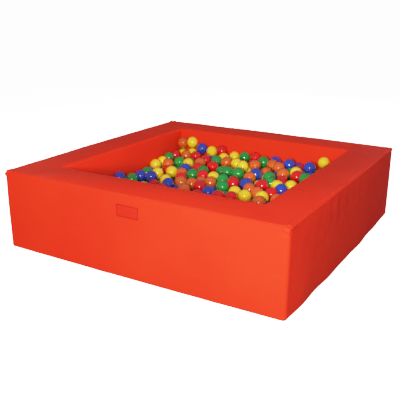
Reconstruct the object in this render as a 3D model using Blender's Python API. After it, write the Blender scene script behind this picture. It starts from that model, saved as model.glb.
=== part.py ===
"""Square soft-play ball pit: foam walls and a floor mat in zipped vinyl covers, filled with play balls.

The origin lies on the floor under the middle of the pit. The front wall, with the sewn patch, faces -Y.
"""

import math

import bmesh
import bpy
import numpy as np
from mathutils import Matrix, Vector

# Overall sizes of the pit, in metres
PIT_WIDTH = 1.500
WALL_HEIGHT = 0.400
WALL_THICKNESS = 0.200

# How the stuffing fills a wall cover
EDGE_BOW = 0.004
FACE_CROWN = 0.005
RIM_CROWN = 0.004
EDGE_ROUNDING = 0.015
MITRE_ROUNDING = 0.005

# Vinyl cover and the gap between pieces that touch
COVER_THICKNESS = 0.001
FIT = 0.0003
FOAM_CLEARANCE = 0.0005
OVERRUN = 0.002

# Zip on the underside of each cover, which stops short of the cover's shorter side at both ends
ZIP_END_MARGIN = 0.100
ZIP_CHANNEL_MARGIN = 0.020
ZIP_CHANNEL_WIDTH = 0.040
ZIP_CHANNEL_DEPTH = 0.008
ZIP_SLOT_WIDTH = 0.016
TAPE_WIDTH = 0.036
TAPE_END = 0.010
TAPE_THICKNESS = 0.0008
COIL_WIDTH = 0.010
COIL_DEPTH = 0.003
STOP_LENGTH = 0.006
STOP_WIDTH = 0.013

# Zip slider, which straddles the coil
SLIDER_LENGTH = 0.022
SLIDER_WIDTH = 0.0145
SLIDER_PLATE = 0.0012
SLIDER_ROUNDING = 0.004
BRIDGE_LENGTH = 0.012
BRIDGE_WIDTH = 0.004
BRIDGE_HEIGHT = 0.0025
BRIDGE_WALL = 0.0012

# Hook-and-loop strips that join two walls at a mitre
STRIP_WIDTH = 0.100
STRIP_HEIGHT = 0.300
HOOK_THICKNESS = 0.0022
LOOP_THICKNESS = 0.0026

# Bare patch sewn on the front wall
PATCH_WIDTH = 0.120
PATCH_HEIGHT = 0.058
PATCH_DROP = 0.045
PATCH_THICKNESS = 0.0008

# Floor mat
MAT_THICKNESS = 0.040
MAT_ROUNDING = 0.006

# Play balls, and the pile that fills the pit: the level of the balls on top, how far under it the other balls
# begin and end, and how far under it the gaps between them are filled up
BALL_DIAMETER = 0.070
BALL_CLEARANCE = 0.001
LATTICE_SPACING = 0.073
PILE_HEIGHT = 0.265
PILE_RISE_TO_RIGHT = 0.030
PILE_RISE_TO_BACK = 0.020
FILL_DROP = 0.022
FILL_DEPTH = 0.060
DOME_DROP = 0.042
BED_DROP = 0.022
SUPPORT_STEP = 0.066

# Counts of facets, the angle past which an edge is rounded, and the rounds of settling the balls
BLOCK_CUTS = (5, 1, 1)
EDGE_SEGMENTS = 2
LOOSE_BALL_SEGMENTS = 10
LOOSE_BALL_RINGS = 8
BED_BALL_SEGMENTS = 8
BED_BALL_RINGS = 4
ROUNDED_ANGLE = math.radians(45)
ROUND_PROFILE = 0.5
SHAKES = 400

# Angles between two walls and of the mitre that joins them
WALL_TURN = math.radians(90)
MITRE_ANGLE = WALL_TURN / 2

# Places worked out from the sizes above
HALF_PIT = PIT_WIDTH / 2
HALF_INSIDE = HALF_PIT - WALL_THICKNESS
MID_WALL = HALF_PIT - WALL_THICKNESS / 2
BALL_RADIUS = BALL_DIAMETER / 2
BALL_REACH = HALF_INSIDE - BALL_RADIUS - BALL_CLEARANCE
ZIP_LENGTH = 2 * (HALF_INSIDE - ZIP_END_MARGIN)
TAPE_UNDERSIDE = ZIP_CHANNEL_DEPTH + COVER_THICKNESS + FIT
COIL_BOTTOM = TAPE_UNDERSIDE - COIL_DEPTH
SQRT2 = math.sqrt(2)

WALLS = ("front", "right", "back", "left")

# Camera of the photograph: focal length in pixels, place in pit widths from the origin, and turns
PHOTO_SIDE_PIXELS = 400
FOCAL_PIXELS = 617.5
CAMERA_SHARES = (1.034, -1.845, 0.811)
CAMERA_AZIMUTH = math.radians(30.55)
CAMERA_ELEVATION = math.radians(18.33)
CAMERA_ROLL = math.radians(0.34)

# Balls on top of the pile, read off the photograph: colour and centre of each loose ball in pixels
LOOSE_BALL_PIXELS = (
    ("blue", 120.8, 177.0),
    ("blue", 148.2, 176.8),
    ("yellow", 156.0, 164.5),
    ("yellow", 157.0, 173.2),
    ("yellow", 171.8, 171.8),
    ("orange", 183.7, 142.7),
    ("yellow", 195.4, 142.4),
    ("yellow", 207.0, 151.0),
    ("red", 178.6, 153.8),
    ("green", 179.2, 162.3),
    ("red", 196.0, 169.0),
    ("green", 217.6, 160.0),
    ("green", 237.3, 173.6),
    ("green", 222.8, 187.0),
    ("green", 243.3, 157.2),
    ("yellow", 243.8, 166.3),
    ("green", 263.6, 162.3),
    ("blue", 256.6, 174.7),
    ("red", 236.2, 184.3),
    ("green", 269.2, 178.0),
    ("blue", 281.0, 190.3),
    ("blue", 289.2, 165.0),
    ("red", 297.0, 177.2),
    ("blue", 309.7, 168.3),
    ("yellow", 262.5, 197.3),
    ("red", 234.0, 197.5),
)

# The same for the balls that are part of the bed
BED_BALL_PIXELS = (
    (133.0, 178.5), (140.0, 176.8), (147.5, 172.5), (163.5, 162.0), (167.3, 163.3), (169.5, 157.5),
    (165.8, 180.5), (172.6, 183.8), (205.0, 148.6), (187.8, 153.8), (196.2, 155.2), (218.0, 150.5),
    (188.3, 163.8), (187.3, 169.3), (184.5, 173.8), (191.0, 174.5), (201.5, 163.0), (203.0, 171.5),
    (202.3, 176.0), (212.8, 167.0), (206.5, 161.0), (226.0, 157.5), (233.5, 157.0), (227.3, 162.8),
    (228.0, 172.3), (213.0, 177.5), (210.4, 182.8), (208.2, 192.8), (222.8, 180.5), (196.3, 185.8),
    (188.0, 184.0), (183.5, 183.5), (181.0, 179.0), (236.0, 164.0), (252.0, 157.5), (253.5, 166.0),
    (250.3, 177.6), (242.5, 184.5), (274.0, 166.0), (277.5, 167.5), (283.0, 174.5), (267.0, 174.0),
    (271.5, 184.0), (278.0, 186.5), (288.5, 187.0), (296.0, 173.0), (324.0, 163.0), (259.3, 187.3),
    (268.0, 195.0), (259.5, 202.0), (254.0, 195.0), (245.8, 196.0), (234.8, 192.6), (251.5, 189.0),
    (220.0, 197.0), (184.0, 190.0),
)

# Colour, roughness and metallic value of each finish
FINISHES = {
    "wall_vinyl": ((0.78, 0.055, 0.020, 1), 0.32, 0),
    "patch_vinyl": ((0.66, 0.035, 0.015, 1), 0.30, 0),
    "mat_vinyl": ((0.70, 0.040, 0.020, 1), 0.40, 0),
    "foam": ((0.86, 0.80, 0.62, 1), 0.95, 0),
    "zip_nylon": ((0.020, 0.020, 0.022, 1), 0.70, 0),
    "zip_metal": ((0.55, 0.55, 0.56, 1), 0.35, 1),
    "hook_tape": ((0.015, 0.015, 0.016, 1), 0.90, 0),
    "loop_tape": ((0.030, 0.030, 0.032, 1), 0.95, 0),
    "ball_mix": ((0.60, 0.32, 0.06, 1), 0.30, 0),
    "ball_blue": ((0.020, 0.060, 0.42, 1), 0.25, 0),
    "ball_green": ((0.010, 0.32, 0.080, 1), 0.25, 0),
    "ball_yellow": ((0.85, 0.52, 0.030, 1), 0.25, 0),
    "ball_orange": ((0.80, 0.17, 0.020, 1), 0.25, 0),
    "ball_red": ((0.62, 0.012, 0.012, 1), 0.25, 0),
}


# Scene helpers

def clear_scene():
    for obj in list(bpy.data.objects):
        bpy.data.objects.remove(obj, do_unlink=True)


def finish(name):
    material = bpy.data.materials.get(name)
    if material is None:
        colour, roughness, metallic = FINISHES[name]
        material = bpy.data.materials.new(name)
        material.use_nodes = True
        shader = material.node_tree.nodes["Principled BSDF"]
        shader.inputs["Base Color"].default_value = colour
        shader.inputs["Roughness"].default_value = roughness
        shader.inputs["Metallic"].default_value = metallic
        material.diffuse_color = colour
    return material


def empty(name, parent=None, turn=0):
    frame = bpy.data.objects.new(name, None)
    frame.rotation_euler = (0, 0, turn)
    frame.parent = parent
    bpy.context.scene.collection.objects.link(frame)
    return frame


def place(name, mesh, material, parent, location=(0, 0, 0)):
    piece = bpy.data.objects.new(name, mesh)
    piece.location = location
    piece.parent = parent
    if not mesh.materials:
        mesh.materials.append(finish(material))
    bpy.context.scene.collection.objects.link(piece)
    return piece


def mesh_from(bm, name):
    bmesh.ops.recalc_face_normals(bm, faces=bm.faces)
    mesh = bpy.data.meshes.new(name)
    bm.to_mesh(mesh)
    bm.free()
    return mesh


def modified(mesh, add_modifiers):
    """The mesh as it looks once the modifiers that add_modifiers puts on it are applied."""
    body = bpy.data.objects.new("modelled", mesh)
    bpy.context.scene.collection.objects.link(body)
    add_modifiers(body)
    depsgraph = bpy.context.evaluated_depsgraph_get()
    result = bpy.data.meshes.new_from_object(body.evaluated_get(depsgraph))
    bpy.data.objects.remove(body, do_unlink=True)
    return result


def carved(mesh, tool, operation):
    """The mesh joined with the tool, cut by it, or cut down to what they share."""
    cutter = bpy.data.objects.new("cutter", tool)
    cutter.hide_render = True
    cutter.display_type = "WIRE"
    bpy.context.scene.collection.objects.link(cutter)

    def add_boolean(body):
        boolean = body.modifiers.new("carve", "BOOLEAN")
        boolean.operation = operation
        boolean.object = cutter

    result = modified(mesh, add_boolean)
    bpy.data.objects.remove(cutter, do_unlink=True)
    return result


# Plain shapes

def box_in(bm, low, high, turn=None):
    """Adds a box between two corners, turned about the vertical by the matrix turn if one is given."""
    low = Vector(low)
    high = Vector(high)
    made = bmesh.ops.create_cube(bm, size=1)["verts"]
    bmesh.ops.scale(bm, vec=high - low, verts=made)
    bmesh.ops.translate(bm, vec=(low + high) / 2, verts=made)
    if turn is not None:
        bmesh.ops.transform(bm, matrix=turn, verts=made)


def rounded(bm, edges, radius):
    style = {"segments": EDGE_SEGMENTS, "profile": ROUND_PROFILE, "affect": "EDGES", "material": -1}
    bmesh.ops.bevel(bm, geom=edges, offset=radius, **style)


def boxes(name, *corners, turn=None):
    bm = bmesh.new()
    for low, high in corners:
        box_in(bm, low, high, turn)
    return mesh_from(bm, name)


def sphere_in(bm, centre, radius, segments, rings):
    bmesh.ops.create_uvsphere(
        bm, u_segments=segments, v_segments=rings, radius=radius, matrix=Matrix.Translation(centre)
    )


# Stuffed wall section, in the frame of the front wall

def split_along(bm, axis, cuts):
    along = [e for e in bm.edges if abs((e.verts[0].co - e.verts[1].co)[axis]) > FIT]
    bmesh.ops.subdivide_edges(bm, edges=along, cuts=cuts, use_grid_fill=True)


def corner_edges(bm):
    """The edges where two sides of the block meet, before it is shaped."""
    return [e for e in bm.edges if e.calc_face_angle() > ROUNDED_ANGLE]


def wall_blank(inset, sharper=None):
    """The closed outside of a mitred wall section, moved inwards by inset all over.

    Its edges are rounded less by sharper, which is the same as inset unless it is given.
    """
    if sharper is None:
        sharper = inset
    bm = bmesh.new()
    bmesh.ops.create_cube(bm, size=2)
    for axis, cuts in enumerate(BLOCK_CUTS):
        split_along(bm, axis, cuts)
    weight = bm.edges.layers.float.new("bevel_weight_edge")
    end_share = (MITRE_ROUNDING - sharper) / (EDGE_ROUNDING - sharper)
    for edge in corner_edges(bm):
        lengthwise = abs((edge.verts[0].co - edge.verts[1].co).x) > FIT
        edge[weight] = 1 if lengthwise else end_share

    outer = HALF_PIT - inset
    inner = HALF_INSIDE + inset
    end_gap = (FIT / 2 + inset) * SQRT2
    height = WALL_HEIGHT - 2 * inset
    for vert in bm.verts:
        along, across, up = vert.co
        depth = outer + (inner - outer) * (across + 1) / 2
        half_length = depth - end_gap
        fullness = 1 - along * along
        bow = (EDGE_BOW + FACE_CROWN * (1 - up * up)) * fullness * (1 - across) / 2
        crown = RIM_CROWN * fullness * (1 - across * across) * (1 + up) / 2
        vert.co = (along * half_length, -depth - bow, inset + height * (1 + up) / 2 + crown)

    def add_rounding(body):
        bevel = body.modifiers.new("rounding", "BEVEL")
        bevel.limit_method = "WEIGHT"
        bevel.width = EDGE_ROUNDING - sharper
        bevel.segments = EDGE_SEGMENTS
        triangles = body.modifiers.new("triangles", "TRIANGULATE")
        triangles.quad_method = "FIXED"

    return modified(mesh_from(bm, "wall_blank"), add_rounding)


def mat_blank(inset, sharper=None):
    """The closed outside of the floor mat, moved inwards by inset all over and rounded as a wall is."""
    if sharper is None:
        sharper = inset
    bm = bmesh.new()
    reach = HALF_INSIDE - FIT - inset
    box_in(bm, (-reach, -reach, inset), (reach, reach, MAT_THICKNESS - inset))
    rounded(bm, bm.edges[:], MAT_ROUNDING - sharper)
    return mesh_from(bm, "mat_blank")


# Room for the zip and for the hook-and-loop strips

def zip_channel(middle, growth, depth, bottom):
    """A box over the zip channel at middle, grown sideways by growth and reaching up to depth."""
    half_length = ZIP_LENGTH / 2 + ZIP_CHANNEL_MARGIN + growth
    half_width = ZIP_CHANNEL_WIDTH / 2 + growth
    return (-half_length, middle - half_width, bottom), (half_length, middle + half_width, depth)


def mitre_turn(side):
    """Turns a box built across X to the mitre at the right (1) or left (-1) end of the front wall."""
    move = Matrix.Translation((side * MID_WALL, -MID_WALL, 0))
    return move @ Matrix.Rotation(WALL_TURN - side * MITRE_ANGLE, 4, "Z")


def strip_box(thickness, growth, outside, deeper):
    """A box for a strip lying against the mitre plane, which is X = 0 with the wall on its -X side."""
    bottom = (WALL_HEIGHT - STRIP_HEIGHT) / 2
    low = (-FIT / 2 - thickness - deeper, -STRIP_WIDTH / 2 - growth, bottom - growth)
    high = (outside, STRIP_WIDTH / 2 + growth, bottom + STRIP_HEIGHT + growth)
    return low, high


def mitre_boxes(growth, outside, deeper):
    """One mesh of the two boxes for the hook strip at the right end and the loop strip at the left end."""
    bm = bmesh.new()
    for side, thickness in ((1, HOOK_THICKNESS), (-1, LOOP_THICKNESS)):
        low, high = strip_box(thickness, growth, outside, deeper)
        box_in(bm, low, high, mitre_turn(side))
    return mesh_from(bm, "mitre_boxes")


# Covers and foam

def zipped_cover(blank, middle):
    """A hollow cover with a pressed-in zip channel under it, slit along the channel's roof."""
    shell = carved(blank(0), blank(COVER_THICKNESS), "DIFFERENCE")
    half_skin = COVER_THICKNESS / 2
    roof = ZIP_CHANNEL_DEPTH + COVER_THICKNESS
    backing = boxes("channel_backing", zip_channel(middle, COVER_THICKNESS, roof, half_skin))
    shell = carved(shell, backing, "UNION")
    channel = boxes("channel", zip_channel(middle, 0, ZIP_CHANNEL_DEPTH, -OVERRUN))
    shell = carved(shell, channel, "DIFFERENCE")
    half_length = ZIP_LENGTH / 2
    half_width = ZIP_SLOT_WIDTH / 2
    slit = boxes(
        "slit",
        (
            (-half_length, middle - half_width, ZIP_CHANNEL_DEPTH - OVERRUN),
            (half_length, middle + half_width, roof + OVERRUN),
        ),
    )
    return carved(shell, slit, "DIFFERENCE")


def wall_cover():
    shell = zipped_cover(wall_blank, -MID_WALL)
    skin = COVER_THICKNESS
    backing = mitre_boxes(FIT + skin, -FIT / 2 - skin / 2, FIT + skin)
    shell = carved(shell, backing, "UNION")
    return carved(shell, mitre_boxes(FIT, OVERRUN, FIT), "DIFFERENCE")


def foam_core(blank, middle):
    """Foam that fills a cover, grooved where the zip channel presses in."""
    core = blank(COVER_THICKNESS + FOAM_CLEARANCE, 0)
    tape_top = TAPE_UNDERSIDE + TAPE_THICKNESS + FIT
    groove = boxes("groove", zip_channel(middle, COVER_THICKNESS + FOAM_CLEARANCE, tape_top, -OVERRUN))
    return carved(core, groove, "DIFFERENCE")


def wall_core():
    room = COVER_THICKNESS + FOAM_CLEARANCE
    core = foam_core(wall_blank, -MID_WALL)
    return carved(core, mitre_boxes(FIT + room, OVERRUN, FIT + room), "DIFFERENCE")


def fastening_strip(name, side, thickness):
    low, high = strip_box(thickness, 0, -FIT / 2, 0)
    return boxes(name, (low, high), turn=mitre_turn(side))


# Zip and slider, along X with the cover's underside facing down

def zip_mesh():
    """The tape inside the slit, with the closed coil hanging through it and a stop at each end."""
    half_tape = TAPE_WIDTH / 2
    half_coil = COIL_WIDTH / 2
    half_length = ZIP_LENGTH / 2
    reach = half_length - FIT
    tape = (
        (-half_length - TAPE_END, -half_tape, TAPE_UNDERSIDE),
        (half_length + TAPE_END, half_tape, TAPE_UNDERSIDE + TAPE_THICKNESS),
    )
    half_sheet = TAPE_THICKNESS / 2
    coil = (
        (-reach, -half_coil, COIL_BOTTOM),
        (reach, half_coil, TAPE_UNDERSIDE + half_sheet),
    )
    mesh = carved(boxes("zip", tape), boxes("coil", coil), "UNION")
    half_stop = STOP_WIDTH / 2
    stops = [
        (
            (min(end, inward), -half_stop, COIL_BOTTOM - FIT),
            (max(end, inward), half_stop, TAPE_UNDERSIDE + half_sheet),
        )
        for end, inward in ((reach, reach - STOP_LENGTH), (-reach, STOP_LENGTH - reach))
    ]
    return carved(mesh, boxes("stops", *stops), "UNION")


def slider_mesh():
    """Slider shell round the coil, with its origin on the coil's line at the floor's height."""
    half_length = SLIDER_LENGTH / 2
    half_width = SLIDER_WIDTH / 2
    coil_clear = COIL_BOTTOM - FIT
    plate_bottom = coil_clear - SLIDER_PLATE
    bm = bmesh.new()
    box_in(bm, (-half_length, -half_width, plate_bottom), (half_length, half_width, TAPE_UNDERSIDE - FIT))
    upright = [e for e in bm.edges if abs((e.verts[0].co - e.verts[1].co).z) > FIT]
    rounded(bm, upright, SLIDER_ROUNDING)
    body = mesh_from(bm, "slider")
    half_bridge = BRIDGE_LENGTH / 2
    half_bar = BRIDGE_WIDTH / 2
    bridge_bottom = plate_bottom - BRIDGE_HEIGHT
    bridge = boxes(
        "bridge",
        ((-half_bridge, -half_bar, bridge_bottom), (half_bridge, half_bar, plate_bottom + SLIDER_PLATE / 2)),
    )
    body = carved(body, bridge, "UNION")
    half_coil = COIL_WIDTH / 2 + FIT
    half_tunnel = half_length + OVERRUN
    tunnel = ((-half_tunnel, -half_coil, coil_clear), (half_tunnel, half_coil, TAPE_UNDERSIDE))
    half_eye = half_bridge - BRIDGE_WALL
    past_bar = half_bar + OVERRUN
    eye = ((-half_eye, -past_bar, bridge_bottom + BRIDGE_WALL), (half_eye, past_bar, plate_bottom))
    return carved(body, boxes("slider_openings", tunnel, eye), "DIFFERENCE")


def slider_start():
    return -(ZIP_LENGTH / 2 - FIT - STOP_LENGTH - FIT - SLIDER_LENGTH / 2)


# Sewn patch

def patch_mesh():
    """A thin patch that follows the stuffed front face, cut from between two offsets of it."""
    top = WALL_HEIGHT - PATCH_DROP
    half_width = PATCH_WIDTH / 2
    window = boxes(
        "patch_window",
        ((-half_width, -PIT_WIDTH, top - PATCH_HEIGHT), (half_width, -MID_WALL, top)),
    )
    sheet = carved(wall_blank(-FIT - PATCH_THICKNESS), window, "INTERSECT")
    return carved(sheet, wall_blank(-FIT), "DIFFERENCE")


# Balls

def pile_level(x, y):
    """Height of the centres of the balls on top, which rises a little towards the back right corner."""
    return PILE_HEIGHT + (PILE_RISE_TO_RIGHT * x + PILE_RISE_TO_BACK * y) / HALF_INSIDE


def camera_axes():
    """The photograph's camera: the directions to its right, up and behind it, a row to each."""
    flat = math.cos(CAMERA_ELEVATION)
    behind = np.array((
        math.sin(CAMERA_AZIMUTH) * flat,
        -math.cos(CAMERA_AZIMUTH) * flat,
        math.sin(CAMERA_ELEVATION),
    ))
    right = np.cross((0, 0, 1), behind)
    right /= np.linalg.norm(right)
    up = np.cross(behind, right)
    cosine, sine = math.cos(CAMERA_ROLL), math.sin(CAMERA_ROLL)
    return np.stack((cosine * right + sine * up, cosine * up - sine * right, behind))


def seen_places():
    """Centres of the seen balls, where the photograph's rays meet the pile's level or else the far walls."""
    pixels = np.array([pixel for _, *pixel in LOOSE_BALL_PIXELS] + list(BED_BALL_PIXELS))
    middle = PHOTO_SIDE_PIXELS / 2
    depths = np.full(len(pixels), -FOCAL_PIXELS)
    rays = np.column_stack((pixels[:, 0] - middle, middle - pixels[:, 1], depths)) @ camera_axes()
    eye = np.array(CAMERA_SHARES) * PIT_WIDTH
    slope = np.array((-PILE_RISE_TO_RIGHT, -PILE_RISE_TO_BACK, HALF_INSIDE)) / HALF_INSIDE
    to_level = (PILE_HEIGHT - eye @ slope) / (rays @ slope)
    to_walls = (np.array((-BALL_REACH, BALL_REACH)) - eye[:2]) / rays[:, :2]
    return eye + rays * np.minimum(to_level, to_walls.min(axis=1))[:, None]


def top_places():
    """Centres of the balls on top, the loose ones first, with room beside each to lift it out."""
    seen = seen_places()
    rise = seen[:, 2] - pile_level(*seen[:, :2].T)
    settled = shaken_apart(seen[:, :2], np.empty((0, 2)))
    return np.column_stack((settled, pile_level(*settled.T) + rise))


def lattice():
    """Staggered rows of places over the inside of the pit."""
    row_step = LATTICE_SPACING * math.sqrt(3) / 2
    rows = int(2 * BALL_REACH / row_step) + 1
    columns = int(2 * BALL_REACH / LATTICE_SPACING) + 1
    points = []
    for row in range(rows):
        shift = LATTICE_SPACING / 4 if row % 2 else -LATTICE_SPACING / 4
        for column in range(columns):
            x = (column - (columns - 1) / 2) * LATTICE_SPACING + shift
            points.append((x, (row - (rows - 1) / 2) * row_step))
    return np.clip(np.array(points), -BALL_REACH, BALL_REACH)


def offsets_between(free, fixed):
    """The steps from every ball to each free one, and how long they are; a ball is no neighbour of itself."""
    steps = free[:, None] - np.vstack([free, fixed])[None]
    lengths = np.linalg.norm(steps, axis=2)
    lengths[lengths == 0] = np.inf
    return steps, lengths


def kept_in(places):
    """Places moved back between the walls and, where they have a height, into the fill under the top."""
    inside = np.clip(places[:, :2], -BALL_REACH, BALL_REACH)
    if places.shape[1] == 2:
        return inside
    top = pile_level(*inside.T) - FILL_DROP
    return np.column_stack((inside, np.clip(places[:, 2], top - FILL_DEPTH, top)))


def shaken_apart(free, fixed):
    """The free places after they have pushed each other out of reach, while the fixed ones stay."""
    for _ in range(SHAKES):
        steps, lengths = offsets_between(free, fixed)
        push = np.clip(BALL_DIAMETER + BALL_CLEARANCE - lengths, 0, None) / 2 / lengths
        free = kept_in(free + (steps * push[:, :, None]).sum(axis=1))
    return free


def without_overlaps(free, fixed):
    """The free places without those that still overlap, of which the most crowded go first."""
    while True:
        _, lengths = offsets_between(free, fixed)
        crowding = np.clip(BALL_DIAMETER + FIT - lengths, 0, None).sum(axis=1)
        if crowding.max() == 0:
            return free
        free = np.delete(free, crowding.argmax(), axis=0)


def fill_places(top):
    """Centres of the balls that lie under and between those on top, as far down as they can be seen."""
    layer = lattice()
    free = np.column_stack((layer, pile_level(*layer.T) - FILL_DROP))
    gaps = np.linalg.norm(free[:, None] - top[None], axis=2)
    free = without_overlaps(shaken_apart(free[gaps.min(axis=1) > BALL_RADIUS], top), top)
    return free[free[:, 2] > pile_level(*free[:, :2].T) - DOME_DROP]


def supports(top):
    """Centres of the balls that carry those of the balls on top that lie too high to touch the bed."""
    high = top[:, 2] - BALL_RADIUS > pile_level(*top[:, :2].T) - BED_DROP - OVERRUN
    return top[high] - (0, 0, SUPPORT_STEP)


def sloping_slab():
    """The packed balls below those that can be seen, as one block that the slope of the pile cuts off."""
    reach = HALF_INSIDE - FIT
    bm = bmesh.new()
    box_in(bm, (-reach, -reach, MAT_THICKNESS + FIT), (reach, reach, PILE_HEIGHT))
    for vert in bm.verts:
        if vert.co.z > PILE_HEIGHT / 2:
            vert.co.z = pile_level(vert.co.x, vert.co.y) - BED_DROP
    return mesh_from(bm, "ball_bed")


def spheres(centres, radius, segments, rings):
    bm = bmesh.new()
    for centre in centres:
        sphere_in(bm, centre, radius, segments, rings)
    return mesh_from(bm, "spheres")


def bed_mesh(top):
    """The bed with a dome for each of its balls that can be seen, and a pocket under each loose ball."""
    loose = len(LOOSE_BALL_PIXELS)
    carriers = spheres(supports(top), BALL_RADIUS, BED_BALL_SEGMENTS, BED_BALL_RINGS)
    balls = np.vstack((top[loose:], fill_places(top)))
    domes = spheres(balls, BALL_RADIUS, BED_BALL_SEGMENTS, BED_BALL_RINGS)
    pockets = spheres(top[:loose], BALL_RADIUS + FIT, LOOSE_BALL_SEGMENTS, LOOSE_BALL_RINGS)
    bed = carved(carved(sloping_slab(), carriers, "UNION"), domes, "UNION")
    return carved(bed, pockets, "DIFFERENCE")


def ball_mesh(colour):
    bm = bmesh.new()
    sphere_in(bm, Vector(), BALL_RADIUS, LOOSE_BALL_SEGMENTS, LOOSE_BALL_RINGS)
    mesh = mesh_from(bm, colour + "_ball")
    mesh.shade_smooth()
    return mesh


# The assembly

def add_walls(pit):
    cover = wall_cover()
    core = wall_core()
    zipper = zip_mesh()
    slider = slider_mesh()
    hook = fastening_strip("hook_strip", 1, HOOK_THICKNESS)
    loop = fastening_strip("loop_strip", -1, LOOP_THICKNESS)
    for quarter, side in enumerate(WALLS):
        wall = empty(side + "_wall", pit, quarter * WALL_TURN)
        place(side + "_cover", cover, "wall_vinyl", wall)
        place(side + "_foam_core", core, "foam", wall)
        place(side + "_zip", zipper, "zip_nylon", wall, (0, -MID_WALL, 0))
        place(side + "_zip_slider", slider, "zip_metal", wall, (slider_start(), -MID_WALL, 0))
        place(side + "_hook_strip", hook, "hook_tape", wall)
        place(side + "_loop_strip", loop, "loop_tape", wall)
        if side == "front":
            place("front_patch", patch_mesh(), "patch_vinyl", wall)


def add_mat(pit):
    place("mat_cover", zipped_cover(mat_blank, 0), "mat_vinyl", pit)
    place("mat_foam_core", foam_core(mat_blank, 0), "foam", pit)
    place("mat_zip", zip_mesh(), "zip_nylon", pit)
    place("mat_zip_slider", slider_mesh(), "zip_metal", pit, (slider_start(), 0, 0))


def add_balls(pit):
    top = top_places()
    place("ball_bed", bed_mesh(top), "ball_mix", pit)
    shapes = {}
    counts = {}
    for (colour, _, _), centre in zip(LOOSE_BALL_PIXELS, top):
        if colour not in shapes:
            shapes[colour] = ball_mesh(colour)
        counts[colour] = counts.get(colour, 0) + 1
        name = f"{colour}_ball_{counts[colour]}"
        place(name, shapes[colour], "ball_" + colour, pit, centre)


def main():
    clear_scene()
    pit = empty("pit")
    add_walls(pit)
    add_mat(pit)
    add_balls(pit)


main()
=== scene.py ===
"""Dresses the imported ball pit.

It makes stuffed vinyl walls with a bare sewn patch, a padded floor mat and a heap of play balls. The zips
and the hook-and-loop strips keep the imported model's shapes. The frame is that model's, in metres, with +Z up
and the wall with the patch facing -Y.
"""

import logging
import math
from dataclasses import dataclass, field
from enum import Enum
from typing import Any, Callable, Mapping, Sequence, Union

import bmesh
import bpy
import numpy as np
from mathutils import Matrix, Vector
from mathutils.bvhtree import BVHTree


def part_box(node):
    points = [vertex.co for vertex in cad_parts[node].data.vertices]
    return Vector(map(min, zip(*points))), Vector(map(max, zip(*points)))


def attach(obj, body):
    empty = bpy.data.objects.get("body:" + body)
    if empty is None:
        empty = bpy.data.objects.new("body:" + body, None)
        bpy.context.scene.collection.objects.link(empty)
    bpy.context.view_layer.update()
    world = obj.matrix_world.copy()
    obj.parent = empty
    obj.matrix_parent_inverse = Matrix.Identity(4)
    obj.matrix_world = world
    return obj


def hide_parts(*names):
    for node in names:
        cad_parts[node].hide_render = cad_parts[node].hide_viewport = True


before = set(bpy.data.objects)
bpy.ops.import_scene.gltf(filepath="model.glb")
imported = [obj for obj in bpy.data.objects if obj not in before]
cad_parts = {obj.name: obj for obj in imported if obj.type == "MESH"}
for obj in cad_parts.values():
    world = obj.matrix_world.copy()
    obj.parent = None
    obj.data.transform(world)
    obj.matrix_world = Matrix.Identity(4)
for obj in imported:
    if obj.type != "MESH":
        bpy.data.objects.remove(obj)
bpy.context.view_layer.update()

log = logging.getLogger("ball_pit")

PIT = "pit"
TINY = 1e-6
PHOTO_SIDE = 400

# The Mix node's colour sockets share their names with others, and go by number.
MIX_SHARE, MIX_LOW, MIX_HIGH, MIX_RESULT = 0, 6, 7, 2
COMBINED_CURVE = 3


# Materials

class Signal:
    """A number in a material, on which Python's operators add Math nodes."""

    def __init__(self, net: "Net", socket: bpy.types.NodeSocket) -> None:
        """Wraps one output socket."""
        self.net = net
        self.socket = socket

    def math(self, operation: str, *terms: "Number") -> "Signal":
        """Adds a Math node with these inputs, and gives its result."""
        node = self.net.node("Math", {"operation": operation}, dict(enumerate(terms)))
        return Signal(self.net, node.outputs[0])

    def __add__(self, other: "Number") -> "Signal":
        """self + other."""
        return self.math("ADD", self, other)

    def __radd__(self, other: "Number") -> "Signal":
        """other + self."""
        return self.math("ADD", other, self)

    def __sub__(self, other: "Number") -> "Signal":
        """self - other."""
        return self.math("SUBTRACT", self, other)

    def __rsub__(self, other: "Number") -> "Signal":
        """other - self."""
        return self.math("SUBTRACT", other, self)

    def __mul__(self, other: "Number") -> "Signal":
        """self * other."""
        return self.math("MULTIPLY", self, other)

    def __rmul__(self, other: "Number") -> "Signal":
        """other * self."""
        return self.math("MULTIPLY", other, self)

    def __truediv__(self, other: "Number") -> "Signal":
        """self / other."""
        return self.math("DIVIDE", self, other)

    def __rtruediv__(self, other: "Number") -> "Signal":
        """other / self."""
        return self.math("DIVIDE", other, self)

    def sine(self) -> "Signal":
        """The sine of an angle in radians."""
        return self.math("SINE", self)

    def size(self) -> "Signal":
        """The number without its sign."""
        return self.math("ABSOLUTE", self)

    def rise(self, low: float, high: float) -> "Signal":
        """A soft step.

        Args:
            low: where the step starts.
            high: where the step ends.

        Returns:
            0 up to low and 1 from high on; the other way round where low is the larger.
        """
        settings = {"interpolation_type": "SMOOTHSTEP"}
        flip = low > high
        inputs = {"Value": self, "From Min": min(low, high), "From Max": max(low, high),
                  "To Min": float(flip), "To Max": float(not flip)}
        return Signal(self.net, self.net.node("MapRange", settings, inputs).outputs["Result"])


Number = Union[Signal, float]
Triple = tuple[float, float, float]


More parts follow.
